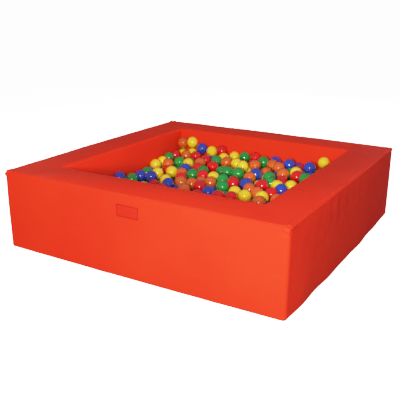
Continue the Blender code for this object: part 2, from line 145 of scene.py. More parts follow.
class Net:
    """The node tree of a material or of the sky, written as expressions."""

    def __init__(self, owner: Union[bpy.types.Material, bpy.types.World]) -> None:
        """Empties the owner's tree."""
        self.owner = owner
        owner.use_nodes = True
        self.tree = owner.node_tree
        self.tree.nodes.clear()

    def node(self, kind: str, settings: Mapping[str, Any], inputs: Mapping[Any, Any]) -> bpy.types.Node:
        """Adds a shader node.

        Args:
            kind: the node's type without its ShaderNode prefix.
            settings: its properties, set first.
            inputs: a value, Signal or output socket for each input, by name or number.

        Returns:
            The node.
        """
        made = self.tree.nodes.new("ShaderNode" + kind)
        for key, value in settings.items():
            setattr(made, key, value)
        for key, value in inputs.items():
            if isinstance(value, Signal):
                value = value.socket
            if isinstance(value, bpy.types.NodeSocket):
                self.tree.links.new(value, made.inputs[key])
            elif isinstance(value, tuple) and len(value) == 3 and made.inputs[key].type == "RGBA":
                made.inputs[key].default_value = (*value, 1)
            else:
                made.inputs[key].default_value = value
        return made

    def places(self) -> bpy.types.NodeSocket:
        """Object coordinates, which are places in the pit's frame."""
        return self.node("TexCoord", {}, {}).outputs["Object"]

    def attribute(self, name: str, output: str = "Fac") -> Signal:
        """A named attribute of the mesh, as a number or, with output "Vector", as a vector."""
        return Signal(self, self.node("Attribute", {"attribute_name": name}, {}).outputs[output])

    def stretched(self, vector: Any, scale: Triple) -> Signal:
        """A vector times a scale for each axis."""
        node = self.node("VectorMath", {"operation": "MULTIPLY"}, {0: vector, 1: scale})
        return Signal(self, node.outputs["Vector"])

    def direction(self, vector: Any) -> Signal:
        """A vector made one unit long."""
        node = self.node("VectorMath", {"operation": "NORMALIZE"}, {0: vector})
        return Signal(self, node.outputs["Vector"])

    def part(self, vector: Any, axis: str) -> Signal:
        """One axis of a vector."""
        return Signal(self, self.node("SeparateXYZ", {}, {0: vector}).outputs[axis])

    def noise(self, vector: Any, scale: float, detail: float = 2, roughness: float = 0.5) -> Signal:
        """Soft noise from 0 to 1.

        Args:
            vector: where it is looked up.
            scale: its coarseness, in patches to a metre.
            detail: how many finer layers it has.
            roughness: how strong the finer layers are.

        Returns:
            The noise.
        """
        inputs = {"Vector": vector, "Scale": scale, "Detail": detail, "Roughness": roughness}
        return Signal(self, self.node("TexNoise", {}, inputs).outputs[0])

    def cells(self, vector: Any, scale: float) -> Signal:
        """How far a point lies from the middle of its cell."""
        node = self.node("TexVoronoi", {}, {"Vector": vector, "Scale": scale})
        return Signal(self, node.outputs["Distance"])

    def mixed(self, share: Number, low: Any, high: Any) -> bpy.types.NodeSocket:
        """A colour between two others: low where the share is 0 and high where it is 1."""
        inputs = {MIX_SHARE: share, MIX_LOW: low, MIX_HIGH: high}
        return self.node("Mix", {"data_type": "RGBA"}, inputs).outputs[MIX_RESULT]

    def bumped(self, height: Signal, depth: float, below: Any = None) -> bpy.types.NodeSocket:
        """A normal raised by a height.

        Args:
            height: from 0 to 1.
            depth: the height of 1, in metres.
            below: a normal that this one adds to.

        Returns:
            The normal's socket.
        """
        inputs = {"Height": height, "Distance": depth, "Strength": 1.0}
        if below is not None:
            inputs["Normal"] = below
        return self.node("Bump", {}, inputs).outputs["Normal"]

    def surface(self, **inputs: Any) -> bpy.types.Material:
        """Ends the material in a Principled shader.

        Args:
            inputs: its inputs, with _ for the spaces of their names.

        Returns:
            The material.
        """
        named = {key.replace("_", " "): value for key, value in inputs.items()}
        shader = self.node("BsdfPrincipled", {}, named)
        self.node("OutputMaterial", {}, {"Surface": shader.outputs[0]})
        return self.owner


@dataclass(frozen=True)
class Vinyl:
    """Glossy vinyl-coated cloth with a fine pebble grain, needle holes along its seams and light scuffs."""

    name: str
    colour: Triple
    deep: Triple
    scuffed: Triple
    seam: Triple
    roughness: float = 0.46
    patch_scale: float = 2.2
    cloud_scale: float = 11
    scuff_stretch: Triple = (9, 9, 34)
    scuff_edge: tuple[float, float] = (0.60, 0.72)
    grain: float = 620
    grain_depth: float = 0.00012
    crease_scale: float = 70
    crease_depth: float = 0.0006
    seam_reach: float = 0.012
    stitch_pitch: float = 0.0045
    stitch_width: float = 0.0022
    stitch_shade: float = 0.4
    stitch_depth: float = 0.0005

    def material(self) -> bpy.types.Material:
        """Builds the material."""
        net = Net(bpy.data.materials.new(self.name))
        places = net.places()
        patches = net.noise(places, self.patch_scale, 3)
        cloudy = net.noise(places, self.cloud_scale, 4)
        scuffs = net.noise(net.stretched(places, self.scuff_stretch), 1, 6, 0.62).rise(*self.scuff_edge)
        seam = net.attribute("seam_distance")
        run = net.attribute("seam_run")
        near_seam = seam.rise(self.seam_reach, 0)
        in_seam = seam.rise(self.stitch_width, 0)
        colour = net.mixed(patches.rise(0.35, 0.65), self.deep, self.colour)
        colour = net.mixed(scuffs * 0.22 + near_seam * cloudy * 0.25, colour, self.scuffed)
        colour = net.mixed(in_seam * self.stitch_shade, colour, self.seam)
        grain = 1 - net.cells(places, self.grain)
        creased = net.noise(places, self.crease_scale, 5, 0.6)
        normal = net.bumped(grain, self.grain_depth)
        normal = net.bumped(creased, self.crease_depth, normal)
        stitches = (run * (2 * math.pi / self.stitch_pitch)).sine() * in_seam
        normal = net.bumped(stitches, self.stitch_depth, normal)
        roughness = self.roughness + cloudy * 0.10 - 0.05 + scuffs * 0.14 + near_seam * 0.05
        return net.surface(Base_Color=colour, Roughness=roughness, Normal=normal, IOR=1.5,
                           Specular_IOR_Level=0.07)


@dataclass(frozen=True)
class BallPlastic:
    """Blow-moulded polyethylene with a parting line, a pinched plug and faint handling marks."""

    name: str
    colour: Triple
    deep: Triple
    roughness: float = 0.24
    line: float = 0.018
    line_depth: float = 0.0003
    plug_edge: tuple[float, float] = (0.985, 0.992)
    skin_scale: float = 2.6
    mark_stretch: Triple = (4, 18, 7)
    mark_edge: tuple[float, float] = (0.60, 0.70)
    dimple_scale: float = 4
    dimple_depth: float = 0.00005

    def material(self) -> bpy.types.Material:
        """Builds the material."""
        net = Net(bpy.data.materials.new(self.name))
        spot = net.direction(net.attribute("ball_spot", "Vector"))
        shade = net.attribute("ball_shade")
        height = net.part(spot, "Z")
        line = height.size().rise(self.line * 1.6, self.line * 0.5)
        plug = height.rise(*self.plug_edge)
        skin = net.noise(spot, self.skin_scale, 3)
        marks = net.noise(net.stretched(spot, self.mark_stretch), 1, 5, 0.6).rise(*self.mark_edge)
        colour = net.mixed(shade * 0.6 + skin * 0.4, self.deep, self.colour)
        colour = net.mixed(line * 0.25 + plug * 0.3, colour, self.deep)
        normal = net.bumped(line + plug * 0.6, self.line_depth)
        normal = net.bumped(net.noise(spot, self.dimple_scale, 2), self.dimple_depth, normal)
        roughness = self.roughness + marks * 0.12 + skin * 0.06
        return net.surface(
            Base_Color=colour, Roughness=roughness, Normal=normal, IOR=1.51, Specular_IOR_Level=0.30,
            Subsurface_Weight=0.12, Subsurface_Radius=(1.0, 0.8, 0.6), Subsurface_Scale=0.008,
            Coat_Weight=1 - marks * 0.5, Coat_Roughness=0.07, Coat_IOR=2.1)


@dataclass(frozen=True)
class Foam:
    """Cut open-cell foam, full of small pores whose hollows are painted darker as shade, and a little
    yellowed.
    """

    name: str
    colour: Triple
    pore_shade: Triple
    pore_scale: float = 900
    pore_depth: float = 0.0006
    stain_scale: float = 5

    def material(self) -> bpy.types.Material:
        """Builds the material."""
        net = Net(bpy.data.materials.new(self.name))
        places = net.places()
        pores = net.cells(places, self.pore_scale).rise(0.15, 0.55)
        aged = net.noise(places, self.stain_scale, 3)
        # Painted shade: the pores' hollows are painted darker. The aged noise adds the real yellowing.
        colour = net.mixed(pores * 0.7 + aged * 0.3, self.pore_shade, self.colour)
        normal = net.bumped(pores, self.pore_depth)
        return net.surface(Base_Color=colour, Roughness=0.9 + aged * 0.1, Normal=normal)


@dataclass(frozen=True)
class Tape:
    """Woven or napped tape: ribs across it, with a finer pile over them."""

    name: str
    colour: Triple
    worn: Triple
    rib: float
    pile: float
    pile_depth: float
    rib_depth: float = 0.0002
    lint_scale: float = 160

    def material(self) -> bpy.types.Material:
        """Builds the material."""
        net = Net(bpy.data.materials.new(self.name))
        places = net.places()
        diagonal = net.part(places, "X") + net.part(places, "Y") + net.part(places, "Z")
        ribs = (diagonal * (2 * math.pi / self.rib)).sine() * 0.5 + 0.5
        pile = net.cells(places, self.pile)
        lint = net.noise(places, self.lint_scale, 4, 0.7).rise(0.55, 0.75)
        colour = net.mixed(lint * 0.6 + ribs * 0.2, self.colour, self.worn)
        normal = net.bumped(ribs, self.rib_depth)
        normal = net.bumped(pile, self.pile_depth, normal)
        return net.surface(Base_Color=colour, Roughness=0.75 + pile * 0.2, Normal=normal)


@dataclass(frozen=True)
class PlatedMetal:
    """Die-cast metal with a dull plating, brushed along its length and worn bright in patches."""

    name: str
    colour: Triple
    worn: Triple
    brushing: Triple = (300, 2600, 2600)
    brush_depth: float = 0.00003
    wear_scale: float = 420

    def material(self) -> bpy.types.Material:
        """Builds the material."""
        net = Net(bpy.data.materials.new(self.name))
        places = net.places()
        strokes = net.noise(net.stretched(places, self.brushing), 1, 3, 0.6)
        wear = net.noise(places, self.wear_scale, 4).rise(0.45, 0.70)
        colour = net.mixed(wear, self.colour, self.worn)
        normal = net.bumped(strokes, self.brush_depth)
        return net.surface(Base_Color=colour, Metallic=1.0, Roughness=0.42 - wear * 0.14 + strokes * 0.08,
                           Normal=normal)


@dataclass(frozen=True)
class Thread:
    """Twisted sewing thread."""

    name: str
    colour: Triple
    light: Triple
    strands: Triple = (1500, 1500, 2600)
    twist_depth: float = 0.0001

    def material(self) -> bpy.types.Material:
        """Builds the material."""
        net = Net(bpy.data.materials.new(self.name))
        places = net.places()
        twist = net.noise(net.stretched(places, self.strands), 1, 2)
        colour = net.mixed(twist.rise(0.35, 0.65), self.colour, self.light)
        normal = net.bumped(twist, self.twist_depth)
        return net.surface(Base_Color=colour, Roughness=0.55 + twist * 0.2, Normal=normal)


@dataclass(frozen=True)
class StudioFloor:
    """Pale seamless paper, bright to the camera and dull to the pit, which it would tint."""

    name: str
    colour: Triple
    shade: Triple
    unseen: Triple
    glow: float
    tooth_scale: float = 220
    tooth_depth: float = 0.0001
    shade_scale: float = 1.2

    def material(self) -> bpy.types.Material:
        """Builds the material."""
        net = Net(bpy.data.materials.new(self.name))
        places = net.places()
        tooth = net.noise(places, self.tooth_scale, 3)
        colour = net.mixed(net.noise(places, self.shade_scale, 2) * 0.5, self.colour, self.shade)
        normal = net.bumped(tooth, self.tooth_depth)
        paper = net.node("BsdfPrincipled", {}, {
            "Base Color": colour, "Roughness": 0.8 + tooth * 0.1, "Normal": normal,
            "Specular IOR Level": 0.1, "Emission Color": (1.0, 1.0, 1.0), "Emission Strength": self.glow})
        dull = net.node("BsdfDiffuse", {}, {"Color": self.unseen})
        seen = net.node("LightPath", {}, {}).outputs["Is Camera Ray"]
        either = net.node("MixShader", {}, {0: seen, 1: dull.outputs[0], 2: paper.outputs[0]})
        net.node("OutputMaterial", {}, {"Surface": either.outputs[0]})
        return net.owner


class Colour(Enum):
    """The colours of the balls."""

    BLUE = "blue"
    GREEN = "green"
    YELLOW = "yellow"
    ORANGE = "orange"
    RED = "red"


BLUE, GREEN, YELLOW, ORANGE, RED = Colour

WALL_VINYL = Vinyl("wall_vinyl_finish", (0.71, 0.034, 0.014), (0.67, 0.029, 0.013), (0.74, 0.052, 0.026),
                   (0.60, 0.024, 0.012))
PATCH_VINYL = Vinyl("patch_vinyl_finish", (0.54, 0.024, 0.013), (0.50, 0.021, 0.012), (0.60, 0.040, 0.024),
                    (0.24, 0.008, 0.006), stitch_width=0.0036, stitch_shade=0.9)
MAT_VINYL = Vinyl("mat_vinyl_finish", (0.62, 0.028, 0.012), (0.57, 0.023, 0.011), (0.70, 0.052, 0.028),
                  (0.50, 0.020, 0.010), 0.42)
BALL_PLASTICS = {
    BLUE: BallPlastic("ball_blue_finish", (0.026, 0.072, 0.61), (0.014, 0.036, 0.38)),
    GREEN: BallPlastic("ball_green_finish", (0.014, 0.315, 0.062), (0.009, 0.21, 0.036)),
    YELLOW: BallPlastic("ball_yellow_finish", (0.84, 0.64, 0.030), (0.72, 0.51, 0.015)),
    ORANGE: BallPlastic("ball_orange_finish", (0.64, 0.128, 0.020), (0.56, 0.092, 0.012)),
    RED: BallPlastic("ball_red_finish", (0.68, 0.003, 0.009), (0.55, 0.002, 0.007)),
}
FOAM = Foam("foam_finish", (0.86, 0.80, 0.62), (0.45, 0.38, 0.24))
ZIP_TAPE = Tape("zip_nylon_finish", (0.018, 0.018, 0.020), (0.07, 0.07, 0.075), 0.0012, 2400, 0.0001)
HOOK_TAPE = Tape("hook_tape_finish", (0.012, 0.012, 0.013), (0.06, 0.06, 0.06), 0.0016, 700, 0.0012)
LOOP_TAPE = Tape("loop_tape_finish", (0.028, 0.028, 0.030), (0.09, 0.09, 0.09), 0.0030, 1500, 0.0009)
ZIP_METAL = PlatedMetal("zip_metal_finish", (0.48, 0.48, 0.49), (0.72, 0.71, 0.70))
PATCH_THREAD = Thread("patch_thread_finish", (0.20, 0.006, 0.006), (0.36, 0.016, 0.012))
PAPER = StudioFloor("studio_paper_finish", (0.80, 0.80, 0.80), (0.77, 0.77, 0.78), (0.16, 0.15, 0.15), 2.15)


# Helpers for meshes

def linked(name: str, mesh: bpy.types.Mesh, material: bpy.types.Material) -> bpy.types.Object:
    """Makes an object at the origin.

    Args:
        name: its name.
        mesh: its mesh, already in place.
        material: its only material.

    Returns:
        The object.
    """
    mesh.materials.clear()
    mesh.materials.append(material)
    piece = bpy.data.objects.new(name, mesh)
    bpy.context.scene.collection.objects.link(piece)
    return piece


def mesh_from(bm: bmesh.types.BMesh, name: str) -> bpy.types.Mesh:
    """Turns a bmesh into a smooth-shaded mesh, and frees it."""
    mesh = bpy.data.meshes.new(name)
    bm.to_mesh(mesh)
    bm.free()
    mesh.shade_smooth()
    return mesh


def dress(piece: bpy.types.Object, slot: str, body: str, *nodes: str) -> None:
    """Puts a piece on its body.

    Args:
        piece: the finished piece.
        slot: the record's material slot; not used.
        body: the CAD body that it moves with.
        nodes: the CAD nodes that it stands for.
    """
    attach(piece, body)
    if nodes:
        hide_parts(*nodes)
    log.info("%s rides on %s and stands for %s", piece.name, body, ", ".join(nodes) or "no node")


def repaint(finish: Union[Tape, PlatedMetal], *nodes: str) -> None:
    """Gives CAD nodes that stay as they are their finish."""
    material = finish.material()
    for node in nodes:
        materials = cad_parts[node].data.materials
        materials.clear()
        materials.append(material)
        log.info("%s keeps its shape and gets %s", node, finish.name)


def spread(anchors: Sequence[float], cells: Sequence[int]) -> np.ndarray:
    """Grid lines through the anchors, with that many cells between one anchor and the next."""
    runs = [np.linspace(a, b, n, endpoint=False) for a, b, n in zip(anchors, anchors[1:], cells)]
    return np.concatenate([*runs, [anchors[-1]]])


def gridded_block(lines: Sequence[np.ndarray], name: str) -> tuple[bpy.types.Mesh, np.ndarray]:
    """A closed box whose sides are divided along grid lines.

    Args:
        lines: the places of the grid lines on each axis.
        name: the mesh's name.

    Returns:
        The mesh, still a cube from -1 to 1, and the place in the box that belongs to each vertex.
    """
    bm = bmesh.new()
    bmesh.ops.create_cube(bm, size=2)
    for axis, line in enumerate(lines):
        along = [e for e in bm.edges if abs((e.verts[0].co - e.verts[1].co)[axis]) > TINY]
        bmesh.ops.subdivide_edges(bm, edges=along, cuts=len(line) - 2, use_grid_fill=True)
    unit = np.array([v.co for v in bm.verts])
    places = [np.interp(shares, np.linspace(-1, 1, len(line)), line) for shares, line in zip(unit.T, lines)]
    return mesh_from(bm, name), np.stack(places, axis=1)


def rows(items: bpy.types.bpy_prop_collection, key: str) -> np.ndarray:
    """A vector property of every item, a row to each."""
    values = np.zeros(len(items) * 3, np.float32)
    items.foreach_get(key, values)
    return values.reshape(-1, 3).astype(float)


def numbers(mesh: bpy.types.Mesh, source: str = "position") -> np.ndarray:
    """The values of a vector attribute, a row to a vertex."""
    return rows(mesh.attributes[source].data, "vector")


def moved_to(mesh: bpy.types.Mesh, places: np.ndarray) -> None:
    """Moves a mesh's vertices to new places."""
    mesh.vertices.foreach_set("co", places.astype(np.float32).ravel())
    mesh.update()


def stored(mesh: bpy.types.Mesh, name: str, values: np.ndarray) -> None:
    """Keeps a number or a vector for each vertex as an attribute."""
    vector = values.ndim == 2
    kind = "FLOAT_VECTOR" if vector else "FLOAT"
    attribute = mesh.attributes.get(name) or mesh.attributes.new(name, kind, "POINT")
    attribute.data.foreach_set("vector" if vector else "value", values.astype(np.float32).ravel())


def evaluated(piece: bpy.types.Object) -> bpy.types.Mesh:
    """The piece's mesh with its modifiers applied."""
    depsgraph = bpy.context.evaluated_depsgraph_get()
    return bpy.data.meshes.new_from_object(piece.evaluated_get(depsgraph))


def subdivided(mesh: bpy.types.Mesh) -> bpy.types.Mesh:
    """The mesh after one smooth subdivision."""
    piece = bpy.data.objects.new("cage", mesh)
    bpy.context.scene.collection.objects.link(piece)
    modifier = piece.modifiers.new("finer", "SUBSURF")
    modifier.levels = 1
    modifier.render_levels = 1
    result = evaluated(piece)
    bpy.data.objects.remove(piece, do_unlink=True)
    return result


def ripple(places: np.ndarray, wavelength: float, seed: float) -> np.ndarray:
    """Smooth waves without a visible repeat.

    Args:
        places: points, a row to each.
        wavelength: the distance from crest to crest, in metres.
        seed: shifts the waves.

    Returns:
        A number from about -1 to 1 for each point.
    """
    total = np.zeros(len(places))
    for turn in range(5):
        angle = seed * 1.7 + turn * 2.4
        heading = np.array([math.cos(angle), math.sin(angle) * math.cos(turn + seed),
                            math.sin(turn * 1.3 + seed)])
        heading /= np.linalg.norm(heading)
        pace = 2 * math.pi / wavelength * (0.75 + 0.13 * turn)
        total += np.sin(places @ heading * pace + seed * 5 + turn)
    return total / 3


def hill(distance: np.ndarray, width: float) -> np.ndarray:
    """1 where the distance is 0, falling off softly over the width."""
    return np.exp(-(distance / width) ** 2)


# Stuffed pieces

class Face(Enum):
    """The side of a wall that a crease lies on."""

    OUTER = "outer"
    TOP = "top"


@dataclass(frozen=True)
class Crease:
    """A fold across the vinyl, from one point of a side to another."""

    face: Face
    start: tuple[float, float]
    end: tuple[float, float]
    width: float
    height: float
    bow: float = 0.06
    taper: float = 0.2
    hollow: float = 0.8
    hollow_place: float = 1.7

    def lift(self, along: np.ndarray, other: np.ndarray) -> np.ndarray:
        """How far the fold lifts each point.

        Args:
            along: places along the wall.
            other: how deep the points lie behind the outer side, or how high they are.

        Returns:
            The lift in metres.
        """
        start = np.array(self.start)
        step = np.array(self.end) - start
        length = np.linalg.norm(step)
        forward = step / length
        aside = np.array([-forward[1], forward[0]])
        points = np.stack([along, other], axis=1) - start
        run = points @ forward / length
        bent = points @ aside + self.bow * length * np.sin(run * math.pi) ** 2
        fade = np.clip(run / self.taper, 0, 1) * np.clip((1 - run) / self.taper, 0, 1)
        hollow = self.hollow * hill(bent - self.hollow_place * self.width, self.width)
        return self.height * (hill(bent, self.width) - hollow) * fade


@dataclass(frozen=True)
class Ridge:
    """A soft ridge or, with a height below 0, a groove along a seam."""

    height: float
    width: float
    place: float = 0

    def lift(self, distance: np.ndarray) -> np.ndarray:
        """How far it lifts points at these distances from the seam."""
        return self.height * hill(distance - self.place, self.width)


@dataclass(frozen=True)
class Waves:
    """Waves in the vinyl."""

    height: float
    length: float
    shift: float = 0

    def lift(self, places: np.ndarray, seed: float) -> np.ndarray:
        """How far they lift each point."""
        return self.height * ripple(places, self.length, seed + self.shift)


@dataclass(frozen=True)
class ZipChannel:
    """The channel pressed into an underside for its zip, with the slit in the channel's roof."""

    half_length: float = 0.47
    half_width: float = 0.02
    depth: float = 0.008
    slit_half_length: float = 0.45
    slit_half_width: float = 0.008
    slit_depth: float = 0.0108
    lip: float = 0.001
    foam_floor: float = 0.0125

    def lines(self) -> tuple[float, ...]:
        """Where grid lines have to lie, from the outside to the middle, as distances from the middle."""
        return (self.half_width + self.lip, self.half_width - self.lip,
                self.slit_half_width + self.lip, self.slit_half_width - self.lip)

    def pressed(self, places: np.ndarray, under: np.ndarray, along: np.ndarray,
                aside: np.ndarray) -> np.ndarray:
        """Presses the channel and the slit into an underside.

        Args:
            places: the cover's points.
            under: which of them lie on the underside.
            along: how far each lies from the channel's middle, along it.
            aside: how far each lies from its centre line.

        Returns:
            The points, those of the channel raised.
        """
        in_channel = under & (np.abs(aside) < self.half_width) & (np.abs(along) < self.half_length)
        in_slit = under & (np.abs(aside) < self.slit_half_width) & (np.abs(along) < self.slit_half_length)
        places[:, 2] = np.where(in_channel, self.depth, places[:, 2])
        places[:, 2] = np.where(in_slit, self.slit_depth, places[:, 2])
        return places

    def cleared(self, foam: bpy.types.Mesh) -> bpy.types.Mesh:
        """The foam with its underside raised clear of the zip."""
        places = numbers(foam)
        places[:, 2] = np.maximum(places[:, 2], self.foam_floor)
        moved_to(foam, places)
        return foam


@dataclass
class WallSection:
    """One mitred wall: a stuffed cover round its foam core, built as the front wall and then turned."""

    side: str
    quarter: int
    creases: tuple[Crease, ...] = ()
    bottom_wave: float = 0.0015
    half_pit: float = 0.75
    thickness: float = 0.2
    height: float = 0.4
    half_overlap: float = 0.0001
    upright_rounding: float = 0.016
    edge_rounding: float = 0.013
    edge: float = 0.012
    band: float = 0.030
    edge_bow: float = 0.0055
    face_crown: float = 0.0025
    rim_crown: float = 0.0035
    recess: float = 0.0032
    recess_rim: float = 0.004
    recess_slope: float = 0.012
    channel: ZipChannel = ZipChannel()
    slack: float = 0.0018
    pressure: float = 3.0
    cloth_mass: float = 0.25
    stretch_stiffness: float = 25
    bend_stiffness: float = 0.6
    swell: float = 0.006
    seam_hold: float = 0.03
    end_calm: float = 0.30
    foam_inset: float = 0.005
    mitre_calm: float = 0.006
    face_depth: float = 0.004
    seam_groove: Ridge = Ridge(-0.0009, 0.0022)
    seam_roll: Ridge = Ridge(0.0006, 0.005, 0.007)
    mitre_groove: Ridge = Ridge(-0.0001, 0.002)
    seam_puckers: Waves = Waves(0.0006, 0.030)
    pucker_reach: float = 0.020
    slack_waves: tuple[Waves, ...] = (Waves(0.0008, 0.34, 2), Waves(0.0003, 0.09, 4))
    corner_puckers: Waves = Waves(0.0042, 0.019, 1)
    corner_swell: float = 0.0012
    corner_place: float = 0.012
    corner_reach: float = 0.024
    skirt_waves: Waves = Waves(0.5, 0.26, 6)
    skirt_height: float = 0.07
    skirt_end: float = 0.08
    wave_seed: float = 1.3
    sharp_angle: float = math.radians(50)
    cage: bpy.types.Object = field(init=False, repr=False)
    rest: np.ndarray = field(init=False, repr=False)

    def turn(self) -> Matrix:
        """The turn from the front wall's place to this wall's."""
        return Matrix.Rotation(self.quarter * math.pi / 2, 4, "Z")

    def grid_lines(self, fine: bool) -> tuple[np.ndarray, np.ndarray, np.ndarray]:
        """Where the grid lines of the cover or, where not fine, of the foam lie.

        Args:
            fine: whether the grid closes up along edges and at the zip channel.

        Returns:
            Shares of the half length, depths behind the outer side, and heights.
        """
        edge, band = self.edge, self.band
        if not fine:
            along = spread((-1, -0.98, 0.98, 1), (2, 40, 2))
            across = spread((0, edge, self.thickness - edge, self.thickness), (2, 6, 2))
            up = spread((0, edge, self.height - edge, self.height), (2, 12, 2))
            return along, across, up
        along = spread((-1, -0.985, -0.96, 0.96, 0.985, 1), (5, 3, 120, 3, 5))
        middle = self.thickness / 2
        sides = (0, edge, band, *(middle - line for line in self.channel.lines()))
        across = spread((*sides, *(self.thickness - s for s in reversed(sides))),
                        (5, 2, 5, 1, 1, 1, 2, 1, 1, 1, 5, 2, 5))
        up = spread((0, edge, band, self.height - band, self.height - edge, self.height), (5, 2, 30, 2, 5))
        return along, across, up

    def shaped(self, flat: np.ndarray, inset: float) -> np.ndarray:
        """The places of a stuffed wall's points.

        Args:
            flat: share of the half length, depth behind the outer side, and height of each point.
            inset: how far the surface lies inside the cover's.

        Returns:
            Points in the front wall's place.
        """
        share, depth, height = flat.T
        depth = inset + depth * (1 - 2 * inset / self.thickness)
        height = inset + height * (1 - 2 * inset / self.height)
        radius = self.edge_rounding
        middle_depth = np.clip(depth, radius, self.thickness - radius)
        middle_height = np.clip(height, radius, self.height - radius)
        out = np.stack([depth - middle_depth, height - middle_height], axis=1)
        length = np.maximum(np.linalg.norm(out, axis=1), TINY)
        pull = np.abs(out).max(axis=1) / length
        round_depth = middle_depth + out[:, 0] * pull
        round_height = middle_height + out[:, 1] * pull
        half_length = self.half_pit - depth - inset * math.sqrt(2)
        along = share * half_length
        full = 1 - share ** 2
        upward = 2 * height / self.height - 1
        inward = 2 * depth / self.thickness - 1
        bow = (self.edge_bow + self.face_crown * (1 - upward ** 2)) * full * (1 - inward) / 2
        crown = self.rim_crown * full * (1 - inward ** 2) * (1 + upward) / 2
        x, y = self.rounded_corner(along, round_depth, half_length)
        return np.stack([x, y - bow, round_height + crown], axis=1)

    def rounded_corner(self, along: np.ndarray, depth: np.ndarray,
                       half_length: np.ndarray) -> tuple[np.ndarray, np.ndarray]:
        """Rounds the upright outer corner that two walls share.

        Args:
            along: places along the wall.
            depth: depths behind the outer side.
            half_length: where the mitre lies at each point's depth.

        Returns:
            The places along X and along Y.
        """
        centre = self.half_pit - self.upright_rounding
        radius = np.maximum(self.upright_rounding - depth, 0)
        past = np.clip((np.abs(along) - centre) / np.maximum(half_length - centre, TINY), 0, 1)
        bent = (radius > 0) & (half_length > centre)
        angle = past * math.pi / 4
        x = np.where(bent & (past > 0), np.sign(along) * (centre + radius * np.sin(angle)), along)
        y = np.where(bent & (past > 0), -centre - radius * np.cos(angle), depth - self.half_pit)
        return x, y

    def block(self, fine: bool, inset: float) -> bpy.types.Mesh:
        """The closed surface of the wall, before it is stuffed.

        Args:
            fine: whether it gets the cover's grid.
            inset: how far it lies inside the cover's surface.

        Returns:
            The mesh, which keeps each point's flat place as an attribute.
        """
        mesh, flat = gridded_block(self.grid_lines(fine), self.side)
        moved_to(mesh, self.shaped(flat, inset))
        stored(mesh, "flat", flat)
        return mesh

    def held(self, flat: np.ndarray) -> np.ndarray:
        """How firmly each point is held while the cover fills.

        Args:
            flat: share of the half length, depth and height of each point.

        Returns:
            1 along the seams, at the ends and on the underside, down to 0 in the middle of the sides.
        """
        share, depth, height = flat.T
        to_top = self.height - height
        to_side = np.minimum(depth, self.thickness - depth)
        free = np.where(to_top < TINY, to_side, np.minimum(height, to_top))
        free = np.minimum(free, (1 - np.abs(share)) * self.half_pit) / self.seam_hold
        return 1 - np.clip(np.where(height < TINY, 0, free), 0, 1)

    def prepare(self) -> None:
        """Makes the cover's cage, ready for the stuffing."""
        mesh = self.block(True, 0)
        self.rest = numbers(mesh)
        self.cage = linked(self.side + "_cage", mesh, bpy.data.materials.new("cage"))
        group = self.cage.vertex_groups.new(name="sewn")
        for index, weight in enumerate(self.held(numbers(mesh, "flat"))):
            group.add([index], float(weight), "REPLACE")
        modifier = self.cage.modifiers.new("stuffing", "CLOTH")
        cloth = modifier.settings
        cloth.quality = 4
        cloth.mass = self.cloth_mass
        cloth.tension_stiffness = self.stretch_stiffness
        cloth.compression_stiffness = self.stretch_stiffness
        cloth.bending_stiffness = self.bend_stiffness
        cloth.use_pressure = True
        cloth.uniform_pressure_force = self.pressure
        cloth.shrink_min = -self.slack
        cloth.vertex_group_mass = "sewn"
        cloth.effector_weights.gravity = 0
        modifier.collision_settings.use_collision = False

    def collect(self) -> bpy.types.Mesh:
        """The stuffed cover after the simulation, whose moves are kept small, and smaller near the ends."""
        filled = evaluated(self.cage)
        move = numbers(filled) - self.rest
        move *= self.swell / (self.swell + np.linalg.norm(move, axis=1, keepdims=True))
        to_end = (1 - np.abs(numbers(self.cage.data, "flat")[:, 0])) * self.half_pit
        calm = np.clip(to_end / self.end_calm, 0, 1)
        move *= (calm ** 2 * (3 - 2 * calm))[:, None]
        mesh = self.cage.data
        moved_to(mesh, self.rest + move)
        self.cage.modifiers.clear()
        self.cage.vertex_groups.clear()
        return subdivided(mesh)

    def seams(self, flat: np.ndarray) -> tuple[np.ndarray, np.ndarray, np.ndarray]:
        """How far each point lies from the seams, and how far along the nearest.

        Args:
            flat: share of the half length, depth and height of each point.

        Returns:
            The distances from the long seams, those from the mitres, and the runs, in metres.
        """
        share, depth, height = flat.T
        to_side = np.minimum(depth, self.thickness - depth)
        to_level = np.minimum(height, self.height - height)
        to_end = (1 - np.abs(share)) * (self.half_pit - depth)
        long_seam = to_side + to_level
        run = np.where(long_seam < to_end, share * self.half_pit, depth + height)
        return long_seam, to_end, run

    def relief(self, places: np.ndarray, flat: np.ndarray) -> np.ndarray:
        """How far seams, puckers and creases lift each point.

        Args:
            places: the cover's points, in the front wall's place.
            flat: share, depth and height of each.

        Returns:
            The lift in metres.
        """
        share, depth, height = flat.T
        along = share * (self.half_pit - depth)
        seam, mitre, _ = self.seams(flat)
        in_pit = places @ np.array(self.turn().to_3x3()).T
        seed = self.wave_seed
        lift = self.seam_groove.lift(seam) + self.seam_roll.lift(seam) + self.mitre_groove.lift(mitre)
        lift += self.seam_puckers.lift(in_pit, seed) * np.exp(-seam / self.pucker_reach)
        lift += sum(waves.lift(in_pit, seed) for waves in self.slack_waves)
        corner = np.sqrt((self.half_pit - np.abs(along)) ** 2 + depth ** 2 + (self.height - height) ** 2)
        near_corner = hill(corner - self.corner_place, self.corner_reach)
        lift += (self.corner_puckers.lift(in_pit, seed) + self.corner_swell) * near_corner
        on_outer = hill(depth, self.face_depth)
        on_top = hill(self.height - height, self.face_depth)
        for crease in self.creases:
            if crease.face is Face.OUTER:
                lift += crease.lift(along, height) * on_outer
            else:
                lift += crease.lift(along, depth) * on_top
        wave = np.clip(0.5 + self.skirt_waves.lift(places * (1, 0, 0), seed + self.quarter), 0, 1.2)
        skirt = self.bottom_wave * wave * np.exp(-height / self.skirt_height)
        lift += skirt * np.clip(mitre / self.skirt_end, 0, 1) * on_outer
        return np.where(height < self.face_depth, 0, lift)

